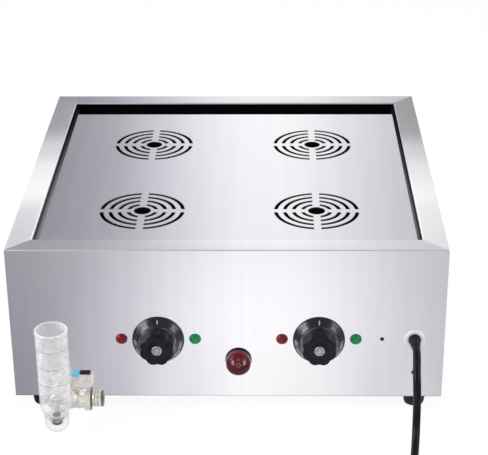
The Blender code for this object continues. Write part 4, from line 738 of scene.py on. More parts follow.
def bandGlow(look, bands, closeShare):
    # closeShare is how bright the glow is close to the middle of the front panel
    across, back, _ = look.axes(look.place())
    low = bands[0][0]
    high = bands[-1][0]
    stops = []
    for x, level, lavender in bands:
        colour = tuple(level / 2 * (1 + lavender * tint) for tint in (-0.015, -0.045, 0.085))
        stops.append(((x - low) / (high - low), colour))
    share = look.node("MapRange", inputs={"Value": across, "From Min": low, "From Max": high})
    ramp = look.node("ValToRGB", {"stops": stops}, {0: share})
    close = look.span(abs(across), 0.12, 0.30, closeShare, 1.0)
    strength = 2.0 * (1 - look.span(back, -0.60, -0.25) * (1 - close))
    return look.node("Emission", inputs={"Color": ramp, "Strength": strength})


def plainCorners(name, corners, finish):
    mesh = bpy.data.meshes.new(name)
    mesh.from_pydata(corners, [], [(0, 1, 2, 3)])
    mesh.materials.append(finish)
    made = bpy.data.objects.new(name, mesh)
    scene.collection.objects.link(made)
    return made


def reflectedCard(name, finish, corners):
    # a soft board beside the camera's view that only shows in gloss
    finish.cycles.emission_sampling = "NONE"
    card = plainCorners(name, corners, finish)
    card.visible_camera = False
    card.visible_diffuse = False
    card.visible_shadow = False
    card.visible_transmission = False


def evenGlow(name, level):
    look = newFinish(name)
    return look.finishWith(look.node("Emission", inputs={"Color": (1.0, 1.0, 1.0), "Strength": level}))


def makeStage():
    look = newFinish("pale floor")
    ray = look.node("LightPath", output="Is Camera Ray")
    glossy = ray.part("Is Glossy Ray")
    matt = look.node("BsdfDiffuse", inputs={"Color": (0.86, 0.86, 0.87)})
    white = look.node("Emission", inputs={"Color": (1.0, 1.0, 1.0), "Strength": studio["white"]})
    seen = look.node("MixShader", inputs={0: studio["shadowShare"], 1: white, 2: matt})
    glow = bandGlow(look, studio["floorBands"], studio["closeShare"])
    mirrored = look.node("MixShader", inputs={0: glossy, 1: matt, 2: glow})
    shown = look.math("MAXIMUM", ray, ray.part("Is Transmission Ray"))
    floorFinish = look.finishWith(look.node("MixShader", inputs={0: shown, 1: mirrored, 2: seen}))
    floorFinish.cycles.emission_sampling = "NONE"
    half = studio["floorHalf"]
    corners = [(-half, -half, 0), (half, -half, 0), (half, half, 0), (-half, half, 0)]
    plainCorners("floor", corners, floorFinish)

    look = newFinish("banded card")
    y = studio["cardY"]
    reflectedCard("bandedCard", look.finishWith(bandGlow(look, studio["cardBands"], 1.0)),
                  [(-2.2, y, 0.02), (2.2, y, 0.02), (2.2, y + 0.4, 2.0), (-2.2, y + 0.4, 2.0)])
    reflectedCard("leftCard", evenGlow("left card", studio["leftCard"]),
                  [(-1.7, -1.35, 0.35), (-1.7, -0.50, 0.35), (-1.35, -0.50, 1.45), (-1.35, -1.35, 1.45)])
    reflectedCard("rightCard", evenGlow("right card", studio["rightCard"]),
                  [(1.7, -1.15, 0.35), (1.7, -0.50, 0.35), (1.4, -0.50, 1.15), (1.4, -1.15, 1.15)])

    world = bpy.data.worlds.new("studio")
    scene.world = world
    world.use_nodes = True
    look = Finish(world)
    ray = look.node("LightPath", output="Is Camera Ray")
    glossy = ray.part("Is Glossy Ray")
    clear = ray.part("Is Transmission Ray")
    direction = look.node("TexCoord", output="Generated")
    height = look.axes(direction)[2]
    overhead = look.span(height, *studio["overhead"])
    level = glossy * overhead + (1 - glossy) * studio["diffuse"]
    level = ray + (1 - ray) * (clear + (1 - clear) * level)
    sky = look.node("Background", inputs={"Color": (1.0, 1.0, 1.0), "Strength": level})
    look.finishWith(sky, "OutputWorld")


def addLight(name, place, aim, size, watts, mirrored=True):
    data = bpy.data.lights.new(name, "AREA")
    data.shape = "RECTANGLE"
    data.size, data.size_y = size
    data.energy = watts
    lamp = bpy.data.objects.new(name, data)
    lamp.visible_camera = False
    lamp.visible_glossy = mirrored
    way = Vector(aim) - Vector(place)
    lamp.matrix_world = Matrix.Translation(place) @ way.to_track_quat("-Z", "Y").to_matrix().to_4x4()
    scene.collection.objects.link(lamp)


makeStage()
addLight("leftSoft", (-1.9, -0.8, 1.3), (-0.09, -0.24, 0.10), (1.2, 1.0), studio["leftSoft"])
addLight("rightSoft", (1.9, -0.8, 1.1), (0.10, -0.24, 0.10), (1.0, 0.8), studio["rightSoft"])
addLight("topSoft", (0.0, 0.1, 2.4), (0.0, 0.0, 0.1), (1.6, 1.2), studio["topSoft"], False)
addLight("frontSoft", (0.0, -2.3, 1.7), (0.0, -0.2, 0.1), (1.8, 0.9), studio["frontSoft"], False)
print("stage and lights set")


# Cabinet of folded sheet

cabinet = {
    "halfWidth": 0.275,
    "front": -0.22375,
    "back": 0.31625,
    "base": 0.020,
    "top": 0.230,
    "rim": 0.030,
    "lipBottom": 0.202,
    "sheet": 0.001,
    "fold": 0.0015,
    "rimFold": 0.0007,
    "foldSteps": 8,
    "seam": 0.00021,
}


def foldProfile():
    c = cabinet
    outer = (c["fold"], c["top"] - c["fold"])
    rim = (c["rim"] - c["rimFold"], c["top"] - c["rimFold"])
    inner = c["fold"] - c["sheet"]
    profile = [(0, c["base"]), (0, c["base"] + 0.004)]
    profile += arcPoints(*outer, c["fold"], c["fold"], 180, 90, c["foldSteps"])
    profile += arcPoints(*rim, c["rimFold"], c["rimFold"], 90, 0, c["foldSteps"])
    profile += [(c["rim"], c["lipBottom"]), (c["rim"] - c["sheet"], c["lipBottom"])]
    profile.append((c["rim"] - c["sheet"], c["top"] - c["sheet"]))
    profile += arcPoints(*outer, inner, inner, 90, 180, c["foldSteps"])
    return profile + [(c["sheet"], c["base"] + 0.004), (c["sheet"], c["base"])]


def makePanels():
    c = cabinet
    middle = (c["front"] + c["back"]) / 2
    halfDepth = (c["back"] - c["front"]) / 2
    wide = c["halfWidth"]
    panels = {
        "front_panel": (wide, "frontSteel", lambda run, d, z: (run, c["front"] + d, z)),
        "back_panel": (wide, "frontSteel", lambda run, d, z: (run, c["back"] - d, z)),
        "left_side_panel": (halfDepth, "leftSteel", lambda run, d, z: (d - wide, middle + run, z)),
        "right_side_panel": (halfDepth, "rightSteel", lambda run, d, z: (wide - d, middle + run, z)),
    }
    for node, (half, finish, toWorld) in panels.items():
        bm = bmesh.new()
        rings = []
        for end in (-1, 1):
            rings.append([toWorld(end * (half - depth - c["seam"]), depth, z) for depth, z in foldProfile()])
        stackShape(bm, rings)
        made = meshPiece(camelName("folded", node), bm, finishes[finish], "cabinet",
                         [node], 28)
        if node != "front_panel":
            made.visible_glossy = False  # keeps the deck clean close to it


def makeFeet():
    # moulded feet with a rounded tread and a screw recess under each
    profile = [(0, 0.0042), (0.0038, 0.0042), (0.0042, 0.0008), (0.0048, 0), (0.0112, 0), (0.0126, 0.0006),
               (0.0131, 0.0018), (0.0136, 0.0060), (0.0139, 0.0066), (0.0139, 0.0078), (0.0138, 0.0084),
               (0.0147, 0.0184), (0.0150, 0.0190), (0.0150, 0.0197), (0.0030, 0.0197), (0.0030, 0.0225),
               (0, 0.0225)]
    for where in ("front_left", "front_right", "back_left", "back_right"):
        _, _, middle = nodeBox("foot_" + where)
        turnedPiece(camelName("foot", where), profile, 48, Matrix.Translation((middle.x, middle.y, 0)),
                    finishes["blackRubber"], "cabinet", ["foot_" + where])


makePanels()
makeFeet()
print("cabinet and feet made")


# Steam deck: a dropped-in tray with four round outlets of slots

deck = {
    "top": 0.2118,
    "sheet": 0.0012,
    "spacing": (0.232, 0.2305),
    "hole": 0.0114,
    "holeSteps": 64,
    "firstSlot": 0.0188,
    "slotSpacing": 0.0118,
    "slotWidth": 0.0052,
    "bridge": 0.0095,
    "slotSteps": (14, 18, 24, 30),
}


def slotLoop(centre, radius, quarter, steps):
    loop = []
    for reach, outward in ((radius + deck["slotWidth"] / 2, True), (radius - deck["slotWidth"] / 2, False)):
        edge = math.asin(deck["bridge"] / 2 / reach)
        for k in range(steps + 1):
            share = k / steps if outward else 1 - k / steps
            angle = edge + (math.pi / 2 - 2 * edge) * share + quarter * math.pi / 2
            loop.append((centre[0] + reach * math.cos(angle), centre[1] + reach * math.sin(angle)))
    return loop


def outletLoops(centre):
    angles = [2 * math.pi * k / deck["holeSteps"] for k in range(deck["holeSteps"])]
    hole = deck["hole"]
    loops = [[(centre[0] + hole * math.cos(a), centre[1] + hole * math.sin(a)) for a in angles]]
    for ring, steps in enumerate(deck["slotSteps"]):
        radius = deck["firstSlot"] + ring * deck["slotSpacing"]
        loops += [slotLoop(centre, radius, quarter, steps) for quarter in range(4)]
    return loops


def makeDeck():
    low, high, middle = nodeBox("deck_plate")
    under = deck["top"] - deck["sheet"]
    foot = low.z

    def outline(inset, z):
        return [(low.x + inset, low.y + inset, z), (high.x - inset, low.y + inset, z),
                (high.x - inset, high.y - inset, z), (low.x + inset, high.y - inset, z)]

    bm = bmesh.new()
    skirt = [outline(0, deck["top"]), outline(0, foot), outline(deck["sheet"], foot),
             outline(deck["sheet"], under)]
    rows = joinRings(bm, skirt)
    topLoops = [rows[0]]
    underLoops = [rows[-1]]
    for across in (-1, 1):
        for along in (-1, 1):
            centre = (middle.x + across * deck["spacing"][0] / 2, middle.y + along * deck["spacing"][1] / 2)
            for loop in outletLoops(centre):
                top = [bm.verts.new((x, y, deck["top"])) for x, y in loop]
                bottom = [bm.verts.new((x, y, under)) for x, y in loop]
                joinRows(bm, top, bottom)
                topLoops.append(top)
                underLoops.append(bottom)
    fillLoops(bm, topLoops)
    fillLoops(bm, underLoops)
    meshPiece("steamDeck", bm, finishes["deckSteel"], "deck", ["deck_plate"], 40)


makeDeck()
print("steam deck made")


# Thermostat knobs: a numbered skirt, a fluted grip and a turned disc

knob = {
    "skirt": 0.0330,
    "gap": 0.0020,
    "skirtEdge": 0.0030,
    "coneDepth": 0.0145,
    "collar": 0.0248,
    "groove": 0.0016,
    "hub": 0.0240,
    "tip": 0.0220,
    "depth": 0.0320,
    "flutes": 8,
    "fluteShare": 0.085,
    "disc": 0.00635,
    "steps": 128,
    "numbers": ("30", "40", "50", "60", "70", "80", "90", "100"),
    "numberStart": 92.0,
    "numberStep": 24.5,
    "numberHeight": 0.0064,
    "numberWidth": 0.86,
    "numberLift": 0.00008,
}


def frontPlace(x, z):
    return facing((0, -1, 0), (x, cabinet["front"], z))


def frontSpot(node):
    # the middle of a fitting, and its place on the front panel
    _, _, middle = nodeBox(node)
    return middle, frontPlace(middle.x, middle.z)


def fluted(radius):
    def reach(angle):
        wave = (1 + math.cos(knob["flutes"] * angle)) / 2
        return radius * (1 - knob["fluteShare"] * wave ** 1.6)

    return reach


def knobProfile():
    k = knob
    edge = k["gap"] + k["skirtEdge"]
    profile = [(0, 0.025), (0.0033, 0.025), (0.0033, k["gap"]), (0.008, k["gap"]), (0.008, 0.012),
               (0.020, 0.012), (0.029, k["gap"]), (k["skirt"] - 0.0004, k["gap"]),
               (k["skirt"], k["gap"] + 0.0004), (k["skirt"], edge - 0.0006),
               (k["skirt"] - 0.0003, edge - 0.0001), (k["skirt"] - 0.0012, edge + 0.0004)]
    start = Vector((k["skirt"] - 0.0014, edge + 0.0005))
    end = Vector((k["collar"] + 0.0004, k["coneDepth"] - 0.0002))
    for step in range(5):
        t = step / 4
        spot = start.lerp(end, t)
        profile.append((spot.x, spot.y + 0.0005 * math.sin(math.pi * t)))
    floor = k["coneDepth"] - k["groove"]
    profile += [(k["collar"], k["coneDepth"]), (k["collar"] - 0.0003, k["coneDepth"] - 0.0003),
                (k["collar"] - 0.0004, floor), (k["hub"] - 0.0006, floor),
                (k["hub"] - 0.0003, floor + 0.0004)]
    profile += [(fluted(k["hub"]), k["coneDepth"] + 0.0014),
                (fluted(k["hub"] - 0.0006), k["coneDepth"] + 0.006),
                (fluted(k["tip"] + 0.0005), k["depth"] - 0.0050), (fluted(k["tip"]), k["depth"] - 0.0020),
                (fluted(k["tip"] - 0.0005), k["depth"] - 0.0009),
                (fluted(k["tip"] - 0.0014), k["depth"] - 0.0003), (fluted(k["tip"] - 0.0028), k["depth"])]
    dish = k["depth"] - 0.0005
    profile += [(0.0165, k["depth"] - 0.0001), (0.0150, dish), (0.0098, dish), (0.0090, k["depth"] - 0.0001),
                (0.0072, k["depth"]), (k["disc"] + 0.0004, k["depth"] - 0.0002)]
    return profile + [(k["disc"] + 0.0003, k["depth"] - 0.0012), (0, k["depth"] - 0.0012)]


def textMesh(words, size, thickness):
    data = bpy.data.curves.new("digits", "FONT")
    data.body = words
    data.size = size * 1.38
    data.align_x = "CENTER"
    data.align_y = "CENTER"
    data.extrude = thickness
    data.offset = size * 0.022
    data.resolution_u = 4
    holder = bpy.data.objects.new("digits", data)
    scene.collection.objects.link(holder)
    bpy.context.view_layer.update()
    mesh = bpy.data.meshes.new_from_object(holder)
    bpy.data.objects.remove(holder)
    bpy.data.curves.remove(data)
    return mesh


def makeDialMarks(name, place, body):
    # the numbers and the bar at the top follow the cone of the skirt
    k = knob
    edge = k["gap"] + k["skirtEdge"] + 0.0005
    slope = math.atan2(k["coneDepth"] - 0.0002 - edge, k["skirt"] - 0.0014 - k["collar"] - 0.0004)
    middle = (k["skirt"] + k["collar"]) / 2 - 0.0005
    height = (edge + k["coneDepth"]) / 2 + 0.0005

    def onCone(angle, across, up, out):
        around = angle - across / middle
        reach = middle + up * math.cos(slope) + out * math.sin(slope)
        depth = height - up * math.sin(slope) + out * math.cos(slope)
        return place @ Vector((reach * math.cos(around), reach * math.sin(around), depth))

    bm = bmesh.new()
    for count, words in enumerate(k["numbers"]):
        angle = math.radians(90 + k["numberStart"] + count * k["numberStep"])
        mesh = textMesh(words, k["numberHeight"], 0.00006)
        spots = []
        for corner in mesh.vertices:
            x, y, z = corner.co
            spots.append(bm.verts.new(onCone(angle, x * k["numberWidth"], y, z + k["numberLift"])))
        for polygon in mesh.polygons:
            bm.faces.new([spots[index] for index in polygon.vertices])
        bpy.data.meshes.remove(mesh)
    bar = [(-0.00055, 0.0036), (0.00055, 0.0036), (0.0009, -0.0008), (0, -0.0036), (-0.0009, -0.0008)]
    stackShape(bm, [[onCone(math.pi / 2, x, y, out) for x, y in bar] for out in (0, 0.00016)])
    meshPiece(name, bm, finishes["mark"], body, sharp=40)


def makeKnob(side):
    middle, place = frontSpot("knob_" + side)
    body = "knob_" + side
    word = side.capitalize()
    turnedPiece("knob" + word, knobProfile(), knob["steps"], place, finishes["knobPlastic"], body,
                ["knob_" + side], sharp=38)
    makeDialMarks("dialMarks" + word, place, body)
    floor = knob["depth"] - 0.0009
    top = floor + 0.0013
    disc = [(0, floor), (knob["disc"], floor), (knob["disc"], top - 0.0003), (knob["disc"] - 0.0003, top),
            (0.0052, top), (0.0050, top - 0.00025), (0.0046, top - 0.00025), (0.0044, top),
            (0.0016, top), (0.0012, top + 0.00015), (0, top + 0.0002)]
    finish = turnedDisc("turned disc " + side, (middle.x, 0, middle.z))
    turnedPiece("knobDisc" + word, disc, 64, place, finish, body, ["knob_disc_" + side],
                sharp=50)


# Pilot lamps: a flanged collar and a ribbed dome

lamp = {
    "barrel": 0.0047,
    "collar": 0.0075,
    "collarHeight": 0.0019,
    "dome": 0.0065,
    "height": 0.0062,
    "red": ((0.14, 0.004, 0.010), (0.20, 0.006, 0.014)),
    "green": ((0.002, 0.15, 0.045), (0.004, 0.26, 0.080)),
}


def makeLamp(node, colour):
    middle, place = frontSpot(node)
    profile = [(0, -0.020), (lamp["barrel"], -0.020), (lamp["barrel"], 0.0002),
               (lamp["collar"] - 0.0003, 0.0002), (lamp["collar"], 0.0006), (lamp["collar"], 0.0011)]
    profile += arcPoints(lamp["collar"] - 0.0008, 0.0011, 0.0008, 0.0008, 15, 90, 4)
    profile += [(lamp["dome"] + 0.0001, lamp["collarHeight"]), (lamp["dome"], lamp["collarHeight"] + 0.0002)]
    start = lamp["collarHeight"] + 0.0003
    profile += arcPoints(0, start, lamp["dome"], lamp["height"] - start, 4, 86, 12)
    bright, dark = lamp[colour]
    finish = lampLens(node.replace("_", " "), (middle.x, 0, middle.z), bright, dark)
    turnedPiece(camelName("pilot", node), profile + [(0, lamp["height"])], 48, place, finish, "cabinet",
                [node])


# Mains switch: bezel, rocker with its marks, and the red boot over them

switch = {
    "sink": 0.001,
    "tiltDeg": 9.0,
    "bezel": 0.0168,
    "bezelDepth": 0.0035,
    "well": 0.0126,
    "boot": 0.0157,
    "wall": 0.0013,
    "bootHeight": 0.0197,
    "shoulder": 0.0060,
    "length": 0.020,
    "width": 0.012,
    "wing": 0.0090,
    "dip": 0.0017,
    "keel": 0.009,
    "rockerShoulder": 0.0035,
    "markUp": 0.0052,
}


def makeSwitch():
    s = switch
    middle, place = frontSpot("switch_bezel")
    seat = s["boot"] + 0.0003
    bezel = [(0, -0.024), (0.0136, -0.024), (0.0139, -0.0236), (0.0139, 0.0002),
             (s["bezel"] - 0.0003, 0.0002), (s["bezel"], 0.0005), (s["bezel"], 0.0024)]
    bezel += arcPoints(s["bezel"] - 0.0005, s["bezelDepth"] - 0.0007, 0.0005, 0.0007, 10, 90, 4)
    bezel += [(seat, s["bezelDepth"] - 0.0001), (seat, 0.0015), (s["well"] + 0.0003, 0.0015),
              (s["well"], 0.0012), (s["well"], -0.014), (0, -0.014)]
    turnedPiece("switchBezel", bezel, 64, place, finishes["blackPlastic"], "cabinet",
                ["switch_bezel"])

    base = 0.0018
    crown = s["boot"] - s["shoulder"]
    shoulderZ = s["bootHeight"] - s["shoulder"]
    outer = [(s["boot"], base), (s["boot"], base + 0.0022), (s["boot"] - 0.0003, base + 0.0027),
             (s["boot"] - 0.0003, base + 0.0033), (s["boot"], base + 0.0038)]
    outer += arcPoints(crown, shoulderZ, s["shoulder"], s["shoulder"], 0, 86, 12) + [(0, s["bootHeight"])]
    innerShoulder = s["shoulder"] - s["wall"]
    inner = [(s["boot"] - s["wall"], base)]
    inner += arcPoints(crown, shoulderZ, innerShoulder, innerShoulder, 0, 86, 12)
    inner += [(0, s["bootHeight"] - s["wall"])]
    bm = bmesh.new()
    turnShape(bm, outer, 64, place)
    turnShape(bm, inner, 64, place)
    bmesh.ops.bridge_loops(bm, edges=[edge for edge in bm.edges if edge.is_boundary])
    finish = softBoot("red boot", (middle.x, 0, middle.z))
    meshPiece("switchBoot", bm, finish, "cabinet", ["switch_boot"])

    tilt = math.radians(s["tiltDeg"])
    axle = Vector((middle.x, cabinet["front"] + s["sink"], middle.z))
    along = Vector((0, -math.sin(tilt), math.cos(tilt)))
    out = Vector((0, -math.cos(tilt), -math.sin(tilt)))
    rockerPlace = Matrix.Translation(axle) @ Matrix(((1, 0, 0), along, out)).transposed().to_4x4()
    half = s["length"] / 2
    top = []
    for k in range(13):
        share = k / 6 - 1
        top.append((share * half, s["wing"] - s["dip"] * math.cos(share * math.pi / 2)))
    outline = top + [(half, -s["rockerShoulder"]), (0.0014, -s["keel"]), (-0.0014, -s["keel"]),
                     (-half, -s["rockerShoulder"])]
    bm = bmesh.new()
    rings = [[rockerPlace @ Vector((x, a, o)) for a, o in outline] for x in (-s["width"] / 2, s["width"] / 2)]
    stackShape(bm, rings)
    axleShape = [(0, -0.0132), (0.0014, -0.0132), (0.0014, 0.0132), (0, 0.0132)]
    turnShape(bm, axleShape, 24, facing((1, 0, 0), axle))
    meshPiece("switchRocker", bm, finishes["redRocker"], "rocker", ["switch_rocker"], 40,
              0.0006)

    marks = bmesh.new()
    for sign in (1, -1):
        share = s["markUp"] / half
        rise = s["dip"] * math.sin(share * math.pi / 2) * math.pi / 2 / half
        level = s["wing"] - s["dip"] * math.cos(share * math.pi / 2)
        lean = Matrix.Rotation(sign * math.atan(rise), 4, "X")
        spot = rockerPlace @ (Matrix.Translation((0, sign * s["markUp"], level)) @ lean)
        if sign > 0:
            box = [(-0.0007, -0.0026), (0.0007, -0.0026), (0.0007, 0.0026), (-0.0007, 0.0026)]
            stackShape(marks, [[spot @ Vector((x, y, z)) for x, y in box] for z in (-0.0002, 0.00025)])
        else:
            ring = [(0.0019, -0.0002), (0.0030, -0.0002), (0.0030, 0.00025), (0.0019, 0.00025)]
            turnShape(marks, ring, 32, spot, ring=True)
    meshPiece("switchMarks", marks, finishes["switchMark"], "rocker", sharp=40)


# Cable entry and the two bracket screws

gland = {"ring": 0.0130, "height": 0.0025, "bore": 0.0079, "barrel": 0.0087, "relief": 0.0076, "tip": 0.0056}


def makeCableEntry():
    g = gland
    _, place = frontSpot("gland_ring")
    ring = [(g["bore"], -0.012), (g["barrel"], -0.012), (g["barrel"], 0.0003), (g["ring"] - 0.0002, 0.0003),
            (g["ring"], 0.0006)]
    ring += arcPoints(g["ring"] - 0.0018, 0.0007, 0.0018, 0.0018, 5, 90, 7)
    ring += [(g["bore"] + 0.0010, g["height"]), (g["bore"] + 0.0003, g["height"] - 0.0002),
             (g["bore"], g["height"] - 0.0007)]
    turnedPiece("glandRing", ring, 64, place, finishes["nylon"], "cabinet", ["gland_ring"],
                ring=True)

    relief = [(0, -0.010), (g["relief"], -0.010), (g["relief"], 0.0052), (g["relief"] - 0.0003, 0.0058),
              (g["relief"] - 0.0010, 0.0060)]
    for k in range(5):
        start = 0.0068 + k * 0.0028
        reach = g["relief"] - 0.0009 - (g["relief"] - 0.0009 - g["tip"]) * (start - 0.006) / 0.016
        relief += [(reach - 0.0007, start - 0.0004), (reach - 0.0007, start + 0.0002),
                   (reach, start + 0.0005), (reach - 0.0001, start + 0.0018)]
    relief += [(g["tip"] + 0.0001, 0.0212), (g["tip"] - 0.0003, 0.0220), (0, 0.0220)]
    turnedPiece("strainRelief", relief, 48, place, finishes["blackRubber"], "cabinet",
                ["strain_relief"])


def makeScrew(where):
    # round head with a cross recess
    _, place = frontSpot("bracket_screw_" + where)
    bm = bmesh.new()
    head = [(0.0015, -0.006), (0.0015, 0.0003), (0.0026, 0.0003), (0.0026, 0.0008), (0.0023, 0.0014),
            (0.0018, 0.0018)]
    rows = turnShape(bm, head, 32, place)
    bm.faces.new(rows[0])
    arm, half = 0.0013, 0.00032
    cross = [(arm, -half), (arm, half), (half, half), (half, arm), (-half, arm), (-half, half), (-arm, half),
             (-arm, -half), (-half, -half), (-half, -arm), (half, -arm), (half, -half)]
    rim = [bm.verts.new(place @ Vector((x, y, 0.0019))) for x, y in cross]
    floor = [bm.verts.new(place @ Vector((x * 0.8, y * 0.8, 0.0011))) for x, y in cross]
    joinRows(bm, rim, floor)
    bm.faces.new(floor)
    fillLoops(bm, [rows[-1], rim])
    meshPiece("bracketScrew" + where.capitalize(), bm, finishes["blackPlastic"], "cabinet",
              ["bracket_screw_" + where], 45)


for side in ("left", "right"):
    makeKnob(side)
    makeLamp("red_lamp_" + side, "red")
    makeLamp("green_lamp_" + side, "green")
makeSwitch()
makeCableEntry()
for where in ("upper", "lower"):
    makeScrew(where)
print("controls and cable entry made")


# Filling cup with its cap and stopper

cup = {
    "x": -0.2115,
    "y": -0.29625,
    "radius": 0.0200,
    "wall": 0.0016,
    "top": 0.159,
    "coneTop": 0.052,
    "shoulder": 0.036,
    "shoulderRadius": 0.0145,
    "neck": 0.0085,
    "bore": 0.0052,
    "beads": (0.071, 0.091, 0.114, 0.138),
    "capRadius": 0.0150,
    "capBottom": 0.0145,
}


def makeCup():
    c = cup
    place = Matrix.Translation((c["x"], c["y"], 0))
    outer = [(c["bore"], 0.0285), (c["neck"] - 0.0004, 0.0285), (c["neck"], 0.0289),
             (c["neck"], c["shoulder"]), (c["shoulderRadius"] - 0.0005, c["shoulder"]),
             (c["shoulderRadius"], c["shoulder"] + 0.0006), (0.0192, c["coneTop"] - 0.0022),
             (0.0198, c["coneTop"])]
    for height in c["beads"]:
        outer += [(0.0199, height - 0.0009), (0.0203, height - 0.0003), (0.0203, height + 0.0003),
                  (0.0199, height + 0.0009)]
    outer += [(c["radius"], c["top"] - 0.0052), (c["radius"] + 0.0005, c["top"] - 0.0046),
              (c["radius"] + 0.0005, c["top"] - 0.0014)]
    outer += arcPoints(c["radius"] - 0.0007, c["top"] - 0.0012, 0.0012, 0.0012, 10, 170, 8)
    inner = []
    for height in reversed(c["beads"]):
        inner += [(0.0183, height + 0.0009), (0.0186, height), (0.0183, height - 0.0009)]
    inner += [(0.0182, c["coneTop"]), (0.0177, c["coneTop"] - 0.0020), (0.0131, c["shoulder"] + 0.0020),
              (0.0122, c["shoulder"] + 0.0016), (c["bore"], c["shoulder"] + 0.0016)]
    bm = bmesh.new()
    turnShape(bm, outer + inner, 96, place, ring=True)
    start = c["y"] + c["shoulderRadius"] - 0.0004
    spigot = [(0.0026, 0), (0.0038, 0), (0.0038, 0.0130), (0.0034, 0.0134), (0.0026, 0.0134)]
    turnShape(bm, spigot, 32, facing((0, 1, 0), (c["x"], start, 0.0402)), ring=True)
    meshPiece("fillingCup", bm, finishes["cup"], "cabinet", ["level_cup"])

    top = c["shoulder"] - 0.0003
    straight = top - 0.008
    low = c["capBottom"]
    cap = [(0, low), (0.0040, low + 0.0002)]
    cap += arcPoints(0, straight, c["capRadius"], low - straight, 68, 0, 8)
    cap += [(c["capRadius"], top - 0.0030), (c["capRadius"] + 0.0004, top - 0.0026),
            (c["capRadius"] + 0.0004, top - 0.0006), (c["capRadius"], top), (c["neck"] + 0.0003, top),
            (c["neck"] + 0.0003, 0.0253), (0, 0.0253)]
    turnedPiece("cupCap", cap, 64, place, finishes["cap"], "cabinet", ["cup_cap"])
    stopper = [(0, 0.0256), (0.0060, 0.0256), (0.0064, 0.0260), (0.0064, 0.0279), (0.0061, 0.0282),
               (0.0049, 0.0282), (0.0049, 0.0378), (0.0045, 0.0385), (0.0030, 0.0386), (0.0028, 0.0383),
               (0, 0.0383)]
    turnedPiece("cupStopper", stopper, 40, place, finishes["stopper"], "cabinet",
                ["cup_stopper"])


# Locknut, tee and drain valve

valve = {
    "x": -0.2115,
    "y": -0.26275,
    "z": 0.0402,
    "stemX": -0.1855,
    "bodyX": -0.1942,
    "tee": 0.0135,
    "branch": 0.0130,
    "barrel": 0.0128,
    "hexFlats": 0.027,
    "neckFlats": 0.018,
    "neckTop": 0.0178,
    "handleLift": 0.0015,
    "handleBack": 0.009,
    "handleWidth": 0.0127,
    "handleHeight": 0.0185,
    "handleLength": 0.0271,
}


def chamferedHex(bm, flats, low, high, cut, inside, place):
    corner = flats / math.sqrt(3)

    def sided(scale):
        def reach(angle):
            # distance to the flat, held back to a round near each corner
            local = (angle + math.pi / 6) % (math.pi / 3) - math.pi / 6
            return min(flats / 2 / math.cos(local), corner * scale)

        return reach

    profile = [(inside, low), (sided(0.90), low), (sided(0.965), low + cut * 0.6), (sided(0.985), low + cut),
               (sided(0.985), high - cut), (sided(0.965), high - cut * 0.6), (sided(0.90), high),
               (inside, high)]
    turnShape(bm, profile, 72, place, ring=True)


def slab(outline, half):
    # drawn in the plane of X and Z, half as thick to each side of the valve's middle
    bm = bmesh.new()
    stackShape(bm, [[(x, valve["y"] + side * half, z) for x, z in outline] for side in (-1, 1)])
    return bm


def makeTee():
    v = valve
    bm = bmesh.new()
    run = facing((0, -1, 0), (v["x"], v["y"], v["z"]))
    profile = [(0.0110, -0.0170), (v["tee"] - 0.0004, -0.0170), (v["tee"], -0.0166), (v["tee"], -0.0128),
               (v["tee"] - 0.0003, -0.0124), (0.0118, -0.0120), (0.0116, -0.0100), (0.0116, 0.0072),
               (0.0118, 0.0084), (v["tee"] - 0.0003, 0.0088), (v["tee"], 0.0092), (v["tee"], 0.0127),
               (v["tee"] - 0.0005, 0.0132), (0.0047, 0.0132), (0.0041, 0.0126), (0.0041, 0.0040),
               (0.0062, 0.0040), (0.0062, -0.0100), (0.0110, -0.0102)]
    turnShape(bm, profile, 56, run, ring=True)
    branch = facing((1, 0, 0), (v["x"], v["y"], v["z"]))
    profile = [(0.0064, 0.0050), (0.0116, 0.0050), (0.0116, 0.0118), (0.0118, 0.0124),
               (v["branch"] - 0.0003, 0.0128), (v["branch"], 0.0132), (v["branch"], 0.0165),
               (v["branch"] - 0.0005, 0.0170), (0.0096, 0.0170), (0.0094, 0.0112), (0.0064, 0.0110)]
    turnShape(bm, profile, 56, branch, ring=True)
    meshPiece("teeFitting", bm, finishes["nickel"], "cabinet", ["tee_fitting"])
    nut = bmesh.new()
    chamferedHex(nut, 0.030, 0.0003, 0.0073, 0.0009, 0.0110, frontPlace(v["x"], v["z"]))
    meshPiece("pipeLocknut", nut, finishes["nickel"], "cabinet", ["pipe_locknut"], 25)


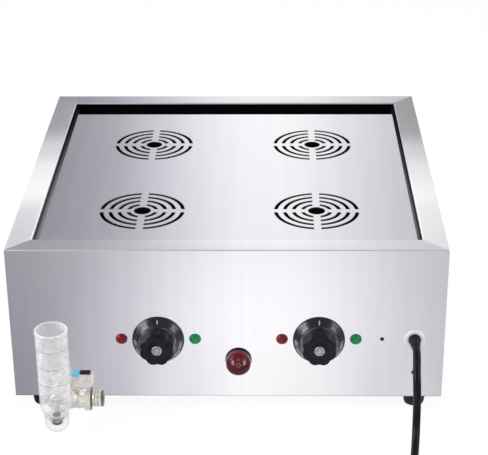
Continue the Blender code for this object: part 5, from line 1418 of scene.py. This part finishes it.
def makeValve():
    v = valve
    along = facing((1, 0, 0), (v["bodyX"], v["y"], v["z"]))
    bm = bmesh.new()
    body = [(0.0050, -0.0054), (0.0086, -0.0054), (0.0090, -0.0050), (0.0090, 0), (v["barrel"] - 0.0006, 0),
            (v["barrel"] - 0.0002, 0.0005), (v["barrel"] - 0.0002, 0.0018), (v["barrel"] - 0.0010, 0.0026),
            (v["barrel"] - 0.0006, 0.0048), (v["barrel"], 0.0080), (v["barrel"] - 0.0004, 0.0110),
            (v["barrel"] - 0.0014, 0.0134), (v["barrel"] - 0.0016, 0.0150), (0.0100, 0.0190),
            (0.0100, 0.0236), (0.0098, 0.0240), (0.0095, 0.0250)]
    for k in range(6):
        start = 0.0256 + k * 0.0018
        body += [(0.0097, start), (0.0105, start + 0.0006), (0.0105, start + 0.0010),
                 (0.0097, start + 0.0016)]
    body += [(0.0096, 0.0366), (0.0104, 0.0370), (0.0105, 0.0374), (0.0095, 0.0384), (0.0076, 0.0384),
             (0.0070, 0.0378), (0.0070, 0.0232), (0.0050, 0.0230), (0.0050, 0.0165), (0.0078, 0.0160),
             (0.0078, 0.0010), (0.0050, 0.0008)]
    turnShape(bm, body, 64, along, ring=True)
    chamferedHex(bm, v["hexFlats"], 0.0142, 0.0232, 0.0011, 0.0098, along)
    neck = facing((0, 0, 1), (v["stemX"], v["y"], v["z"]))
    boss = [(0.0038, 0.0092), (0.0088, 0.0092), (0.0084, 0.0128), (0.0080, 0.0140), (0.0038, 0.0140)]
    turnShape(bm, boss, 48, neck, ring=True)
    chamferedHex(bm, v["neckFlats"], 0.0136, v["neckTop"], 0.0006, 0.0038, neck)
    meshPiece("valveBody", bm, finishes["valveNickel"], "cabinet", ["valve_body"], 25)

    half = v["handleWidth"] / 2
    bottom = v["z"] + v["neckTop"] + v["handleLift"]
    left = v["stemX"] - v["handleBack"]
    right = left + v["handleLength"]
    top = bottom + v["handleHeight"]
    stepX = left + 0.0095
    stepZ = top - 0.003
    outline = [(left, bottom + 0.0022), (left + 0.0006, bottom + 0.0007), (left + 0.0022, bottom)]
    for share, up in ((0.74, 0), (0.84, 0.03), (0.92, 0.11), (0.97, 0.22), (0.995, 0.36), (1, 0.50),
                      (1, 0.74), (0.99, 0.86), (0.955, 0.955)):
        outline.append((left + share * v["handleLength"], bottom + up * v["handleHeight"]))
    outline += [(right - 0.0032, top), (stepX, top), (stepX, stepZ), (left, stepZ)]
    meshPiece("valveHandle", slab(outline, half), finishes["nickel"], "valve_lever",
              ["valve_handle"], 24, 0.0013, 4)

    inlay = [(stepX + 0.0006, top - 0.0006), (right - 0.0042, top - 0.0006), (right - 0.0034, top + 0.0002),
             (right - 0.0042, top + 0.0006), (stepX + 0.0006, top + 0.0006)]
    meshPiece("handleInlay", slab(inlay, half * 0.80), finishes["blackPlastic"], "valve_lever",
              sharp=30, edge=0.0002)

    crown = top + 0.0008
    cap = [(left, stepZ + 0.0002), (stepX - 0.0002, stepZ + 0.0002), (stepX - 0.0002, crown - 0.0004),
           (stepX - 0.0006, crown), (left + 0.0020, crown), (left + 0.0006, crown - 0.0006),
           (left, crown - 0.0020)]
    meshPiece("handleCap", slab(cap, half), finishes["blue"], "valve_lever", ["handle_cap"],
              30, 0.0002)


makeCup()
makeTee()
makeValve()
print("filling cup and drain valve made")


# What stays of the CAD model gets its finish

kept = {
    "recessShadeStrip": ["recess_band"],
    "sealSilicone": ["deck_seal"],
    "zinc": ["base_tray", "tank_rail_left", "tank_rail_right", "terminal_bracket", "spindle_left",
             "spindle_right"],
    "shadedTankSteel": ["water_tank"],
    "sheath": ["heater_left", "heater_right"],
    "nickel": ["heater_flange_left", "heater_flange_right", "outlet_pipe", "valve_ball"],
    "copper": ["capillary_left", "capillary_right"],
    "ceramic": ["thermostat_left", "thermostat_right", "thermal_cutout", "terminal_block"],
    "cable": ["supply_lead"],
}

for finish, nodes in kept.items():
    for node in nodes:
        materials = frame["nodes"][node].data.materials
        materials.clear()
        materials.append(finishes[finish])
frame["nodes"]["recess_band"].visible_glossy = False
# the fittings throw no mirror image of themselves on the front panel
for piece in bpy.data.objects:
    if piece.name.startswith(("knob", "dialMarks", "switch", "gland", "strain", "mains", "valve", "handle",
                              "tee", "pipe", "fillingCup", "cup", "pilot", "bracketScrew")):
        piece.visible_glossy = False
dressed = {node for piece in bpy.data.objects for node in piece.get("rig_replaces", [])}.union(*kept.values())
print("left plain:", sorted(set(frame["nodes"]) - dressed))
